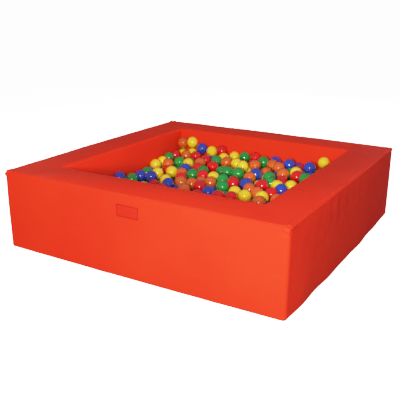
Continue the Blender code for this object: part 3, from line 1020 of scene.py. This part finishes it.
    def finished(self, mesh: bpy.types.Mesh) -> bpy.types.Mesh:
        """Adds seams, puckers, creases, the zip channel and the recesses for the hook-and-loop strips.

        Args:
            mesh: the stuffed cover.

        Returns:
            The same mesh, in its place in the pit.
        """
        flat = numbers(mesh, "flat")
        places = numbers(mesh)
        normals = rows(mesh.vertices, "normal")
        share, depth, height = flat.T
        seam, mitre, run = self.seams(flat)
        at_end = np.abs(share) > 1 - TINY
        mitre_side = np.stack([np.sign(share), np.ones(len(share)), np.zeros(len(share))], axis=1)
        mitre_side /= math.sqrt(2)
        level = normals - (normals * mitre_side).sum(axis=1, keepdims=True) * mitre_side
        level /= np.maximum(np.linalg.norm(level, axis=1, keepdims=True), TINY)
        normals = np.where(at_end[:, None], level, normals)
        places += normals * self.relief(places, flat)[:, None]
        mitre_line = np.sign(share) * (self.half_overlap * math.sqrt(2) - places[:, 1])
        places[:, 0] = np.where(at_end, mitre_line, places[:, 0])
        places[:, 2] = np.maximum(places[:, 2], 0)
        along = share * (self.half_pit - depth)
        places = self.channel.pressed(places, height < TINY, along, depth - self.thickness / 2)
        places = self.with_recess(places, flat)
        moved_to(mesh, places)
        stored(mesh, "seam_distance", np.minimum(seam, mitre + self.mitre_calm))
        stored(mesh, "seam_run", run)
        mesh.transform(self.turn())
        mesh.set_sharp_from_angle(angle=self.sharp_angle)
        return mesh

    def with_recess(self, places: np.ndarray, flat: np.ndarray) -> np.ndarray:
        """Sinks the mitred ends, away from their edges, to leave room for the hook-and-loop strips.

        Args:
            places: the cover's points.
            flat: share, depth and height of each.

        Returns:
            The points, with those of both ends moved.
        """
        share, depth, height = flat.T
        at_end = np.abs(share) > 1 - TINY
        rim = np.minimum(np.minimum(depth, self.thickness - depth), np.minimum(height, self.height - height))
        sunk = np.clip((rim - self.recess_rim) / self.recess_slope, 0, 1) * self.recess
        places[:, 0] -= np.where(at_end, np.sign(share) * sunk * math.sqrt(2), 0)
        return places

    def build(self, vinyl: bpy.types.Material, foam: bpy.types.Material) -> None:
        """Makes the cover and the foam core, and puts them on the pit.

        Args:
            vinyl: the cover's material.
            foam: the core's material.
        """
        cover = linked(self.side + "_stuffed_cover", self.finished(self.collect()), vinyl)
        bpy.data.objects.remove(self.cage, do_unlink=True)
        dress(cover, "wall_vinyl", PIT, self.side + "_cover")
        mesh = self.channel.cleared(self.block(False, self.foam_inset))
        mesh.transform(self.turn())
        core = linked(self.side + "_foam_block", subdivided(mesh), foam)
        dress(core, "foam", PIT, self.side + "_foam_core")


def stuff(last_frame: int = 20) -> None:
    """Lets all covers fill at once.

    Args:
        last_frame: where the simulation ends.
    """
    scene = bpy.context.scene
    for number in range(1, last_frame + 1):
        scene.frame_set(number)


# The heap of balls

@dataclass(frozen=True)
class PhotoCamera:
    """The camera that took the photograph, fitted to the pit's corners."""

    place: Triple = (1.551, -2.767, 1.216)
    focal_pixels: float = 617.5
    azimuth: float = 30.55
    elevation: float = 18.33
    roll: float = 0.34
    sensor: float = 36

    def axes(self) -> np.ndarray:
        """Its right, up and backward directions, a row to each."""
        azimuth, elevation, roll = (math.radians(a) for a in (self.azimuth, self.elevation, self.roll))
        back = np.array([math.sin(azimuth) * math.cos(elevation), -math.cos(azimuth) * math.cos(elevation),
                         math.sin(elevation)])
        right = np.cross((0, 0, 1), back)
        right /= np.linalg.norm(right)
        up = np.cross(back, right)
        return np.stack([math.cos(roll) * right + math.sin(roll) * up,
                         math.cos(roll) * up - math.sin(roll) * right, back])

    def pixels(self, places: np.ndarray) -> np.ndarray:
        """Where points lie in the photograph.

        Args:
            places: the points, a row to each.

        Returns:
            Pixels from the photograph's top left, a row to each point.
        """
        local = (places - np.array(self.place)) @ self.axes().T
        across, up = (self.focal_pixels * local[:, axis] / -local[:, 2] for axis in (0, 1))
        return PHOTO_SIDE / 2 + np.stack([across, -up], axis=1)


# Colour and middle of each packed ball that the photograph shows, read in pixels from the top left.
SEEN_BALL_PIXELS = (
    (GREEN, 133, 178.5), (BLUE, 140, 176.8), (GREEN, 147.5, 172.5), (YELLOW, 163.5, 162),
    (ORANGE, 167.3, 163.3), (GREEN, 169.5, 157.5), (YELLOW, 165.8, 180.5), (BLUE, 172.6, 183.8),
    (BLUE, 205, 148.6), (ORANGE, 187.8, 153.8), (RED, 196.2, 155.2), (RED, 218, 150.5),
    (YELLOW, 188.3, 163.8), (BLUE, 187.3, 169.3), (ORANGE, 184.5, 173.8), (GREEN, 191, 174.5),
    (ORANGE, 201.5, 163), (GREEN, 203, 171.5), (RED, 202.3, 176), (RED, 212.8, 167), (RED, 206.5, 161),
    (YELLOW, 226, 157.5), (YELLOW, 233.5, 157), (ORANGE, 227.3, 162.8), (GREEN, 228, 172.3),
    (YELLOW, 213, 177.5), (ORANGE, 210.4, 182.8), (BLUE, 208.2, 192.8), (GREEN, 222.8, 180.5),
    (RED, 196.3, 185.8), (ORANGE, 188, 184), (ORANGE, 183.5, 183.5), (RED, 181, 179), (YELLOW, 236, 164),
    (RED, 252, 157.5), (RED, 253.5, 166), (ORANGE, 250.3, 177.6), (BLUE, 242.5, 184.5), (ORANGE, 274, 166),
    (ORANGE, 277.5, 167.5), (ORANGE, 283, 174.5), (ORANGE, 267, 174), (GREEN, 271.5, 184),
    (YELLOW, 278, 186.5), (YELLOW, 288.5, 187), (YELLOW, 296, 173), (YELLOW, 324, 163),
    (YELLOW, 259.3, 187.3), (RED, 268, 195), (ORANGE, 259.5, 202), (ORANGE, 254, 195), (YELLOW, 245.8, 196),
    (YELLOW, 234.8, 192.6), (ORANGE, 251.5, 189), (RED, 220, 197), (ORANGE, 184, 190),
)


@dataclass
class BallHeap:
    """All play balls: the loose ones on their own bodies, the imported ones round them, and those below."""

    camera: PhotoCamera
    radius: float = 0.035
    half_inside: float = 0.55
    wall_gap: float = 0.003
    floor: float = 0.0405
    level: float = 0.265
    rise_to_right: float = 0.030
    rise_to_back: float = 0.020
    hidden_drop: float = 0.042
    shaken_low: float = 0.034
    shaken_high: float = 0.008
    shake: float = 0.012
    vacancies: float = 0.10
    carried_rise: float = 0.015
    fill_spacing: float = 0.0722
    touch: float = 0.0005
    pixel_reach: float = 5
    rounds: int = 130
    push: float = 0.8
    seed: int = 7
    ridge_half_width: float = 0.025
    ridge_scale: float = 1.006
    fine: tuple[int, int] = (28, 18)
    middling: tuple[int, int] = (14, 9)
    coarse: tuple[int, int] = (9, 6)

    def surface(self, places: np.ndarray) -> np.ndarray:
        """The height of the top layer's ball centres over or under each point."""
        slope = self.rise_to_right * places[:, 0] + self.rise_to_back * places[:, 1]
        return self.level + slope / self.half_inside

    def loose_nodes(self) -> list[tuple[str, Colour]]:
        """The CAD nodes that are single balls, with their colours."""
        named = [(node, node.split("_ball_")[0]) for node in sorted(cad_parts) if "_ball_" in node]
        return [(node, Colour(colour)) for node, colour in named]

    def loose_places(self) -> np.ndarray:
        """The centres of the loose balls in the CAD model."""
        return np.array([list((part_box(node)[0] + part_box(node)[1]) / 2) for node, _ in self.loose_nodes()])

    def packed_places(self) -> np.ndarray:
        """The centres of the balls whose tops show on the CAD ball bed.

        Returns:
            The place under each corner of the bed all of whose edges end on the ball that hangs from it.
        """
        bm = bmesh.new()
        bm.from_mesh(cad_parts["ball_bed"].data)
        bmesh.ops.remove_doubles(bm, verts=bm.verts, dist=TINY)
        centres = []
        for vert in bm.verts:
            centre = vert.co - Vector((0, 0, self.radius))
            ends = [edge.other_vert(vert).co - centre for edge in vert.link_edges]
            if all(abs(end.length - self.radius) < self.touch for end in ends):
                centres.append(centre[:])
        bm.free()
        return np.array(centres)

    def seen_colours(self, centres: np.ndarray) -> dict[int, Colour]:
        """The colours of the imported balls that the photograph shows.

        Args:
            centres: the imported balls.

        Returns:
            A colour for the number of each ball that lies where the photograph shows one.
        """
        pixels = self.camera.pixels(centres)
        colours: dict[int, Colour] = {}
        for colour, across, down in SEEN_BALL_PIXELS:
            away = np.hypot(*(pixels - (across, down)).T)
            nearest = next(int(number) for number in np.argsort(away) if int(number) not in colours)
            if away[nearest] < self.pixel_reach:
                colours[nearest] = colour
        return colours

    def distances(self, balls: np.ndarray, others: np.ndarray) -> np.ndarray:
        """The distance from each ball to each of the others."""
        return np.linalg.norm(balls[:, None] - others[None], axis=2)

    def carriers(self, top: np.ndarray) -> np.ndarray:
        """The balls that hold up those that lie high.

        Args:
            top: centres of the top layer.

        Returns:
            A centre right under each high ball that has room there.
        """
        high = top[:, 2] - self.surface(top) > self.carried_rise
        below = top[high] - (0, 0, 2 * self.radius)
        return below[self.distances(below, top).min(axis=1) > 2 * self.radius - self.touch]

    def apart(self, free: np.ndarray, fixed: np.ndarray) -> np.ndarray:
        """The push that each free ball gets from all the balls that it overlaps.

        Args:
            free: centres that can move.
            fixed: centres that can't.

        Returns:
            A push for each free centre.
        """
        everything = np.vstack([free, fixed])
        steps = free[:, None] - everything[None]
        gaps = self.distances(free, everything)
        gaps[gaps < TINY] = 1
        overlap = np.clip(2 * self.radius - gaps, 0, None)
        share = np.full(len(everything), 0.5)
        share[len(free):] = 1
        return ((overlap * share / gaps)[:, :, None] * steps).sum(axis=1)

    def settled(self, free: np.ndarray, fixed: np.ndarray, low: Callable, high: Callable) -> np.ndarray:
        """Balls pushed apart, less those that find no room.

        Args:
            free: centres that can move.
            fixed: centres that can't.
            low: gives the lowest height of a centre over each point.
            high: gives the greatest height.

        Returns:
            The free centres that overlap no ball.
        """
        reach = self.half_inside - self.radius - self.wall_gap
        for _ in range(self.rounds):
            free = free + self.apart(free, fixed) * self.push
            free[:, :2] = np.clip(free[:, :2], -reach, reach)
            free[:, 2] = np.clip(free[:, 2], low(free), high(free))
        while True:
            gaps = self.distances(free, np.vstack([free, fixed]))
            np.fill_diagonal(gaps, 1)
            nearest = gaps.min(axis=1)
            if nearest.min() > 2 * self.radius - 2 * self.touch:
                return free
            free = np.delete(free, nearest.argmin(), axis=0)

    def shaken(self, packed: np.ndarray, fixed: np.ndarray, random: np.random.Generator) -> np.ndarray:
        """Packed balls that the photograph doesn't show, shaken out of the model's rows.

        Args:
            packed: their centres in the model.
            fixed: centres that stay.
            random: the source of their disorder.

        Returns:
            Their new centres, fewer than before.
        """
        kept = packed[random.uniform(size=len(packed)) > self.vacancies]
        moved = kept + random.normal(scale=self.shake, size=kept.shape)
        return self.settled(moved, fixed, lambda places: self.surface(places) - self.shaken_low,
                            lambda places: self.surface(places) + self.shaken_high)

    def lattice(self, random: np.random.Generator) -> np.ndarray:
        """Closely packed centres, from the mat up to the top layer.

        Args:
            random: shakes them a little.

        Returns:
            The centres.
        """
        layer = self.fill_spacing * math.sqrt(2 / 3)
        row = self.fill_spacing * math.sqrt(3) / 2
        reach = self.half_inside - self.radius
        column_count = int(2 * reach / self.fill_spacing) + 1
        row_count = int(2 * reach / row) + 1
        layer_count = int((self.level - self.floor - self.radius) / layer) + 2
        places = np.array([(x * self.fill_spacing + (y + z) % 2 * self.fill_spacing / 2 - reach,
                            y * row + z % 2 * row / 3 - reach,
                            self.floor + self.radius + z * layer)
                           for z in range(layer_count) for y in range(row_count)
                           for x in range(column_count)])
        places += random.normal(scale=self.radius / 20, size=places.shape)
        return places[places[:, 2] < self.surface(places) - self.hidden_drop + self.radius / 2]

    def settle_hidden(self, fixed: np.ndarray, random: np.random.Generator) -> np.ndarray:
        """The balls that fill the pit below and between those of the top layer.

        Args:
            fixed: centres that stay.
            random: the source of their disorder.

        Returns:
            The other centres, which overlap no ball.
        """
        places = self.lattice(random)
        places = places[self.distances(places, fixed).min(axis=1) > self.radius * 1.5]
        return self.settled(places, fixed, lambda _: self.floor + self.radius,
                            lambda places: self.surface(places) - self.hidden_drop)

    def ball(self, detail: tuple[int, int]) -> bpy.types.Mesh:
        """One ball about the origin, with the ridge of its parting line.

        Args:
            detail: how many segments and rings it has.

        Returns:
            The mesh, whose ball_spot attribute is each point's direction from the middle.
        """
        bm = bmesh.new()
        bmesh.ops.create_uvsphere(bm, u_segments=detail[0], v_segments=detail[1], radius=self.radius)
        if detail == self.fine:
            for side in (-1, 1):
                geometry = bm.verts[:] + bm.edges[:] + bm.faces[:]
                cut = (0, 0, side * self.radius * self.ridge_half_width)
                bmesh.ops.bisect_plane(bm, geom=geometry, plane_co=cut, plane_no=(0, 0, 1))
            ridge = [v for v in bm.verts if abs(v.co.z) < TINY]
            bmesh.ops.scale(bm, vec=Vector((self.ridge_scale, self.ridge_scale, 1)), verts=ridge)
        mesh = mesh_from(bm, "ball")
        stored(mesh, "ball_spot", numbers(mesh) / self.radius)
        return mesh

    def placed(self, ball: bpy.types.Mesh, centre: np.ndarray,
               random: np.random.Generator) -> bpy.types.Mesh:
        """A copy of a ball, turned at random.

        Args:
            ball: the ball to copy.
            centre: where it goes.
            random: the source of its turn and shade.

        Returns:
            The copy's mesh.
        """
        copy = ball.copy()
        axis = Vector(random.normal(size=3)).normalized()
        turn = Matrix.Rotation(random.uniform(0, 2 * math.pi), 4, axis)
        copy.transform(Matrix.Translation(Vector(centre)) @ turn)
        stored(copy, "ball_shade", np.full(len(copy.vertices), random.uniform(0, 1)))
        return copy

    def gathered(self, name: str, colour: Colour, balls: Sequence[bpy.types.Mesh],
                 material: bpy.types.Material) -> None:
        """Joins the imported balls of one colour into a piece.

        Args:
            name: the piece's name.
            colour: the balls' colour.
            balls: their meshes.
            material: their material.
        """
        bm = bmesh.new()
        for ball in balls:
            bm.from_mesh(ball)
        piece = linked(name, mesh_from(bm, name), material)
        dress(piece, "ball_" + colour.value, PIT, "ball_bed")

    def build(self) -> None:
        """Makes every ball."""
        random = np.random.default_rng(self.seed)
        materials = {colour: plastic.material() for colour, plastic in BALL_PLASTICS.items()}
        loose = self.loose_places()
        packed = self.packed_places()
        colours = self.seen_colours(packed)
        in_photo = np.array([number in colours for number in range(len(packed))])
        seen = packed[in_photo]
        carriers = self.carriers(np.vstack([loose, seen]))
        others = self.shaken(packed[~in_photo], np.vstack([loose, seen, carriers]), random)
        hidden = self.settle_hidden(np.vstack([loose, seen, carriers, others]), random)
        fine, middling, coarse = (self.ball(detail) for detail in (self.fine, self.middling, self.coarse))
        for (node, colour), centre in zip(self.loose_nodes(), loose):
            piece = linked(node.replace("_ball_", "_play_ball_"), self.placed(fine, centre, random),
                           materials[colour])
            dress(piece, "ball_" + colour.value, node, node)
        heaps: dict[tuple[Colour, str], list[bpy.types.Mesh]] = {
            (colour, layer): [] for colour in Colour for layer in ("on_top", "below")}
        for number, colour in colours.items():
            heaps[colour, "on_top"].append(self.placed(middling, packed[number], random))
        unseen = ((others, middling, "on_top"), (np.vstack([carriers, hidden]), coarse, "below"))
        for centres, ball, layer in unseen:
            for centre in centres:
                colour = list(Colour)[random.integers(len(Colour))]
                heaps[colour, layer].append(self.placed(ball, centre, random))
        for (colour, layer), balls in heaps.items():
            self.gathered(f"{colour.value}_balls_{layer}", colour, balls, materials[colour])
        log.info("%d loose, %d seen, %d carrying, %d other and %d hidden balls",
                 len(loose), len(seen), len(carriers), len(others), len(hidden))


# The patch

@dataclass
class SewnPatch:
    """The bare patch on the front wall, with its sewn border."""

    cover: bpy.types.Object
    corner_rounding: float = 0.004
    rows: int = 24
    columns: int = 48
    lift: float = 0.0004
    sheet: float = 0.0006
    border: float = 0.0045
    stitch: float = 0.0034
    stitch_pitch: float = 0.0046
    thread: float = 0.00045
    pull: Ridge = Ridge(-0.0003, 0.0018)
    middle: tuple[float, float] = field(init=False)
    half: tuple[float, float] = field(init=False)
    wall: BVHTree = field(init=False)

    def __post_init__(self) -> None:
        """Reads the patch's place from its CAD node."""
        low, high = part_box("front_patch")
        self.middle = ((low.x + high.x) / 2, (low.z + high.z) / 2)
        self.half = ((high.x - low.x) / 2, (high.z - low.z) / 2)
        depsgraph = bpy.context.evaluated_depsgraph_get()
        self.wall = BVHTree.FromObject(self.cover, depsgraph)

    def on_wall(self, x: float, z: float, lift: float) -> Vector:
        """A point that far off the wall's outer vinyl."""
        hit, normal, _, _ = self.wall.ray_cast(Vector((x, -1, z)), Vector((0, 1, 0)))
        return hit + normal * lift

    def plate(self) -> bpy.types.Mesh:
        """The patch itself, with rounded corners, laid on the wall."""
        bm = bmesh.new()
        bmesh.ops.create_grid(bm, x_segments=self.columns, y_segments=self.rows, size=1)
        edge_distance = bm.verts.layers.float.new("seam_distance")
        edge_run = bm.verts.layers.float.new("seam_run")
        inner = (self.half[0] - self.corner_rounding, self.half[1] - self.corner_rounding)
        for vert in bm.verts:
            x = vert.co.x * self.half[0]
            z = vert.co.y * self.half[1]
            past = Vector((max(abs(x) - inner[0], 0), max(abs(z) - inner[1], 0)))
            if past.length > self.corner_rounding:
                past *= self.corner_rounding / past.length
                x = math.copysign(inner[0] + past.x, x)
                z = math.copysign(inner[1] + past.y, z)
            to_edge = min(self.half[0] - abs(x), self.half[1] - abs(z))
            vert[edge_distance] = abs(to_edge - self.border)
            vert[edge_run] = x + z
            lift = self.lift + self.sheet + self.pull.lift(to_edge - self.border)
            vert.co = self.on_wall(self.middle[0] + x, self.middle[1] + z, lift)
        bmesh.ops.recalc_face_normals(bm, faces=bm.faces)
        if sum(f.normal.y for f in bm.faces) > 0:
            bmesh.ops.reverse_faces(bm, faces=bm.faces)
        bmesh.ops.solidify(bm, geom=bm.faces[:], thickness=self.sheet)
        return mesh_from(bm, "patch")

    def stitches(self) -> bpy.types.Mesh:
        """The thread round the border, a short bead for each stitch."""
        bm = bmesh.new()
        width = self.half[0] - self.border
        height = self.half[1] - self.border
        corners = [Vector((x * width, z * height)) for x, z in ((-1, -1), (1, -1), (1, 1), (-1, 1))]
        for start, end in zip(corners, corners[1:] + corners[:1]):
            count = int((end - start).length / self.stitch_pitch)
            for number in range(count):
                self.bead(bm, start.lerp(end, (number + 0.5) / count), end - start)
        return mesh_from(bm, "patch_stitches")

    def bead(self, bm: bmesh.types.BMesh, place: Vector, heading: Vector) -> None:
        """Adds one stitch.

        Args:
            bm: where it goes.
            place: its middle, from the patch's middle.
            heading: the way it runs.
        """
        point = self.on_wall(self.middle[0] + place.x, self.middle[1] + place.y, self.lift + self.sheet)
        made = bmesh.ops.create_uvsphere(bm, u_segments=6, v_segments=4, radius=1)["verts"]
        turn = Matrix.Rotation(math.atan2(heading.y, heading.x), 4, "Y").inverted()
        size = Matrix.Diagonal((self.stitch / 2, self.thread, self.thread, 1))
        bmesh.ops.transform(bm, matrix=Matrix.Translation(point) @ turn @ size, verts=made)

    def build(self) -> None:
        """Makes the patch and its stitches."""
        plate = linked("bare_patch", self.plate(), PATCH_VINYL.material())
        dress(plate, "patch_vinyl", PIT, "front_patch")
        thread = linked("patch_stitches", self.stitches(), PATCH_THREAD.material())
        dress(thread, "patch_vinyl", PIT)


# The floor mat

@dataclass
class FloorMat:
    """The padded mat under the balls."""

    half_inside: float = 0.5497
    thickness: float = 0.04
    rounding: float = 0.008
    crown: float = 0.002
    edge: float = 0.012
    foam_inset: float = 0.0025
    channel: ZipChannel = ZipChannel()

    def block(self, inset: float) -> bpy.types.Mesh:
        """The mat's closed surface.

        Args:
            inset: how far it lies inside the cover's.

        Returns:
            The mesh.
        """
        reach = self.half_inside
        calm = reach - self.edge
        sides = self.channel.lines()
        lines = (spread((-reach, -calm, calm, reach), (5, 50, 5)),
                 spread((-reach, -calm, *(-side for side in sides), *reversed(sides), calm, reach),
                        (5, 25, 1, 1, 1, 2, 1, 1, 1, 25, 5)),
                 spread((0, self.edge, self.thickness - self.edge, self.thickness), (5, 2, 5)))
        mesh, flat = gridded_block(lines, "mat")
        whole = np.array([reach, reach, self.thickness / 2])
        share = (flat - (0, 0, self.thickness / 2)) / whole
        half = whole - inset
        places = share * half
        inner = np.clip(places, self.rounding - half, half - self.rounding)
        out = places - inner
        length = np.maximum(np.linalg.norm(out, axis=1, keepdims=True), TINY)
        places = inner + out / length * np.abs(out).max(axis=1, keepdims=True)
        full = (1 - share[:, 0] ** 2) * (1 - share[:, 1] ** 2)
        places[:, 2] += self.thickness / 2 - self.crown * full * (share[:, 2] > 0)
        side = np.abs(share[:, :2]).max(axis=1)
        seam = (1 - side) * reach + (1 - np.abs(share[:, 2])) * self.thickness / 2
        under = share[:, 2] < TINY - 1
        moved_to(mesh, self.channel.pressed(places, under, places[:, 0], places[:, 1]))
        stored(mesh, "seam_distance", seam)
        stored(mesh, "seam_run", places[:, 0] + places[:, 1])
        return mesh

    def build(self, foam: bpy.types.Material) -> None:
        """Makes the mat's cover and foam.

        Args:
            foam: the core's material.
        """
        cover = linked("mat_stuffed_cover", self.block(0), MAT_VINYL.material())
        dress(cover, "mat_vinyl", PIT, "mat_cover")
        core = linked("mat_foam_block", self.channel.cleared(self.block(self.foam_inset)), foam)
        dress(core, "foam", PIT, "mat_foam_core")


# The studio

@dataclass(frozen=True)
class Lamp:
    """A square soft light that points at the pit. Glossy surfaces show it only where it is mirrored."""

    name: str
    place: Triple
    size: float
    power: float
    colour: Triple
    mirrored: bool = False

    def hang(self, aim: Triple) -> None:
        """Puts the lamp up, turned to a point.

        Args:
            aim: the point.
        """
        light = bpy.data.lights.new(self.name, "AREA")
        light.shape = "SQUARE"
        light.size = self.size
        light.energy = self.power
        light.color = self.colour
        lamp = bpy.data.objects.new(self.name, light)
        lamp.location = self.place
        lamp.rotation_euler = (Vector(aim) - Vector(self.place)).to_track_quat("-Z", "Y").to_euler()
        lamp.visible_glossy = self.mirrored
        bpy.context.scene.collection.objects.link(lamp)


FLASH_TINT = (1.0, 0.98, 0.76)
PLAIN_TINT = (1.0, 0.98, 0.97)
SIDE_TINT = (1.0, 0.50, 0.90)
LAMPS = (
    Lamp("flash", (1.40, -2.80, 1.16), 0.55, 38, FLASH_TINT, mirrored=True),
    Lamp("key_softbox", (1.12, -2.84, 1.14), 0.7, 114, FLASH_TINT),
    Lamp("top_softbox", (0.2, 0.3, 3.2), 2.6, 13, PLAIN_TINT),
    Lamp("side_softbox", (3.6, 0.9, 1.0), 2.0, 26, SIDE_TINT),
    Lamp("left_softbox", (-3.4, 1.0, 1.3), 2.0, 54, PLAIN_TINT),
    Lamp("back_softbox", (0.8, 4.2, 1.4), 2.4, 84, PLAIN_TINT),
)


@dataclass
class Studio:
    """A plain pale floor, soft light and the photograph's camera."""

    camera: PhotoCamera
    floor_half: float = 400
    floor_drop: float = 0.0002
    air: Triple = (0.97, 0.98, 1.0)
    ambient: float = 0.14
    aim: Triple = (0, 0, 0.2)
    backdrop: float = 2.4
    shoulder: tuple[tuple[float, float], ...] = ((0.75, 0.75), (1.1, 0.84), (1.7, 0.90))
    brightest: float = 2.4

    def floor(self) -> None:
        """Lays the floor."""
        bm = bmesh.new()
        bmesh.ops.create_grid(bm, x_segments=1, y_segments=1, size=self.floor_half)
        bmesh.ops.translate(bm, vec=(0, 0, -self.floor_drop), verts=bm.verts)
        floor = linked("studio_floor", mesh_from(bm, "floor"), PAPER.material())

    def lights(self) -> None:
        """Sets up the flash, the softboxes and the air, which is white to the camera and dim to the pit."""
        net = Net(bpy.data.worlds.new("studio_air"))
        seen = Signal(net, net.node("LightPath", {}, {}).outputs["Is Camera Ray"])
        strength = seen * (self.backdrop - self.ambient) + self.ambient
        air = net.node("Background", {}, {"Color": self.air, "Strength": strength})
        net.node("OutputWorld", {}, {"Surface": air.outputs[0]})
        bpy.context.scene.world = net.owner
        for lamp in LAMPS:
            lamp.hang(self.aim)

    def expose(self) -> None:
        """Softens the brightest tones, as the photograph's film does."""
        view = bpy.context.scene.view_settings
        view.view_transform = "Standard"
        view.use_curve_mapping = True
        mapping = view.curve_mapping
        mapping.white_level = (self.brightest,) * 3
        tones = mapping.curves[COMBINED_CURVE].points
        for light, tone in self.shoulder:
            tones.new(light / self.brightest, tone)
        for point in tones:
            point.handle_type = "VECTOR"
        mapping.update()

    def shoot(self) -> None:
        """Places the camera."""
        lens = bpy.data.cameras.new("photo_camera")
        lens.sensor_width = self.camera.sensor
        lens.lens = self.camera.focal_pixels / PHOTO_SIDE * self.camera.sensor
        camera = bpy.data.objects.new("photo_camera", lens)
        turn = Matrix([Vector(axis) for axis in self.camera.axes()]).transposed().to_4x4()
        camera.matrix_world = Matrix.Translation(Vector(self.camera.place)) @ turn
        bpy.context.scene.collection.objects.link(camera)
        bpy.context.scene.camera = camera

    def build(self) -> None:
        """Sets up the studio."""
        self.floor()
        self.lights()
        self.shoot()
        self.expose()


RIGHT_WALL_CREASES = (
    Crease(Face.TOP, (0.249, 0.125), (0.202, 0.008), 0.011, 0.0015),
    Crease(Face.TOP, (-0.292, 0.175), (-0.329, 0.090), 0.011, 0.0013),
    Crease(Face.TOP, (0.330, 0.180), (0.300, 0.060), 0.011, 0.0010),
    Crease(Face.OUTER, (-0.330, 0.375), (-0.310, 0.250), 0.024, 0.0008),
    Crease(Face.OUTER, (-0.230, 0.380), (-0.215, 0.240), 0.026, 0.0009),
    Crease(Face.OUTER, (-0.110, 0.378), (-0.095, 0.270), 0.024, 0.0007),
    Crease(Face.OUTER, (0.080, 0.375), (0.100, 0.250), 0.028, 0.0008),
)
LEFT_WALL_CREASES = (
    Crease(Face.TOP, (0.190, 0.150), (0.130, 0.060), 0.011, 0.0013),
    Crease(Face.TOP, (0.120, 0.170), (0.075, 0.100), 0.010, 0.0010),
)


def main() -> None:
    """Builds the scene."""
    logging.basicConfig(level=logging.INFO, format="%(message)s")
    camera = PhotoCamera()
    walls = [
        WallSection("front", 0),
        WallSection("right", 1, RIGHT_WALL_CREASES, bottom_wave=0.006),
        WallSection("back", 2, bottom_wave=0.002),
        WallSection("left", 3, LEFT_WALL_CREASES, bottom_wave=0.002),
    ]
    for wall in walls:
        wall.prepare()
    stuff()
    vinyl = WALL_VINYL.material()
    foam = FOAM.material()
    for wall in walls:
        wall.build(vinyl, foam)
    SewnPatch(bpy.data.objects["front_stuffed_cover"]).build()
    FloorMat().build(foam)
    BallHeap(camera).build()
    sides = [wall.side for wall in walls]
    repaint(ZIP_TAPE, *(side + "_zip" for side in (*sides, "mat")))
    repaint(ZIP_METAL, *(side + "_zip_slider" for side in (*sides, "mat")))
    repaint(HOOK_TAPE, *(side + "_hook_strip" for side in sides))
    repaint(LOOP_TAPE, *(side + "_loop_strip" for side in sides))
    Studio(camera).build()


if __name__ == "__main__":
    main()
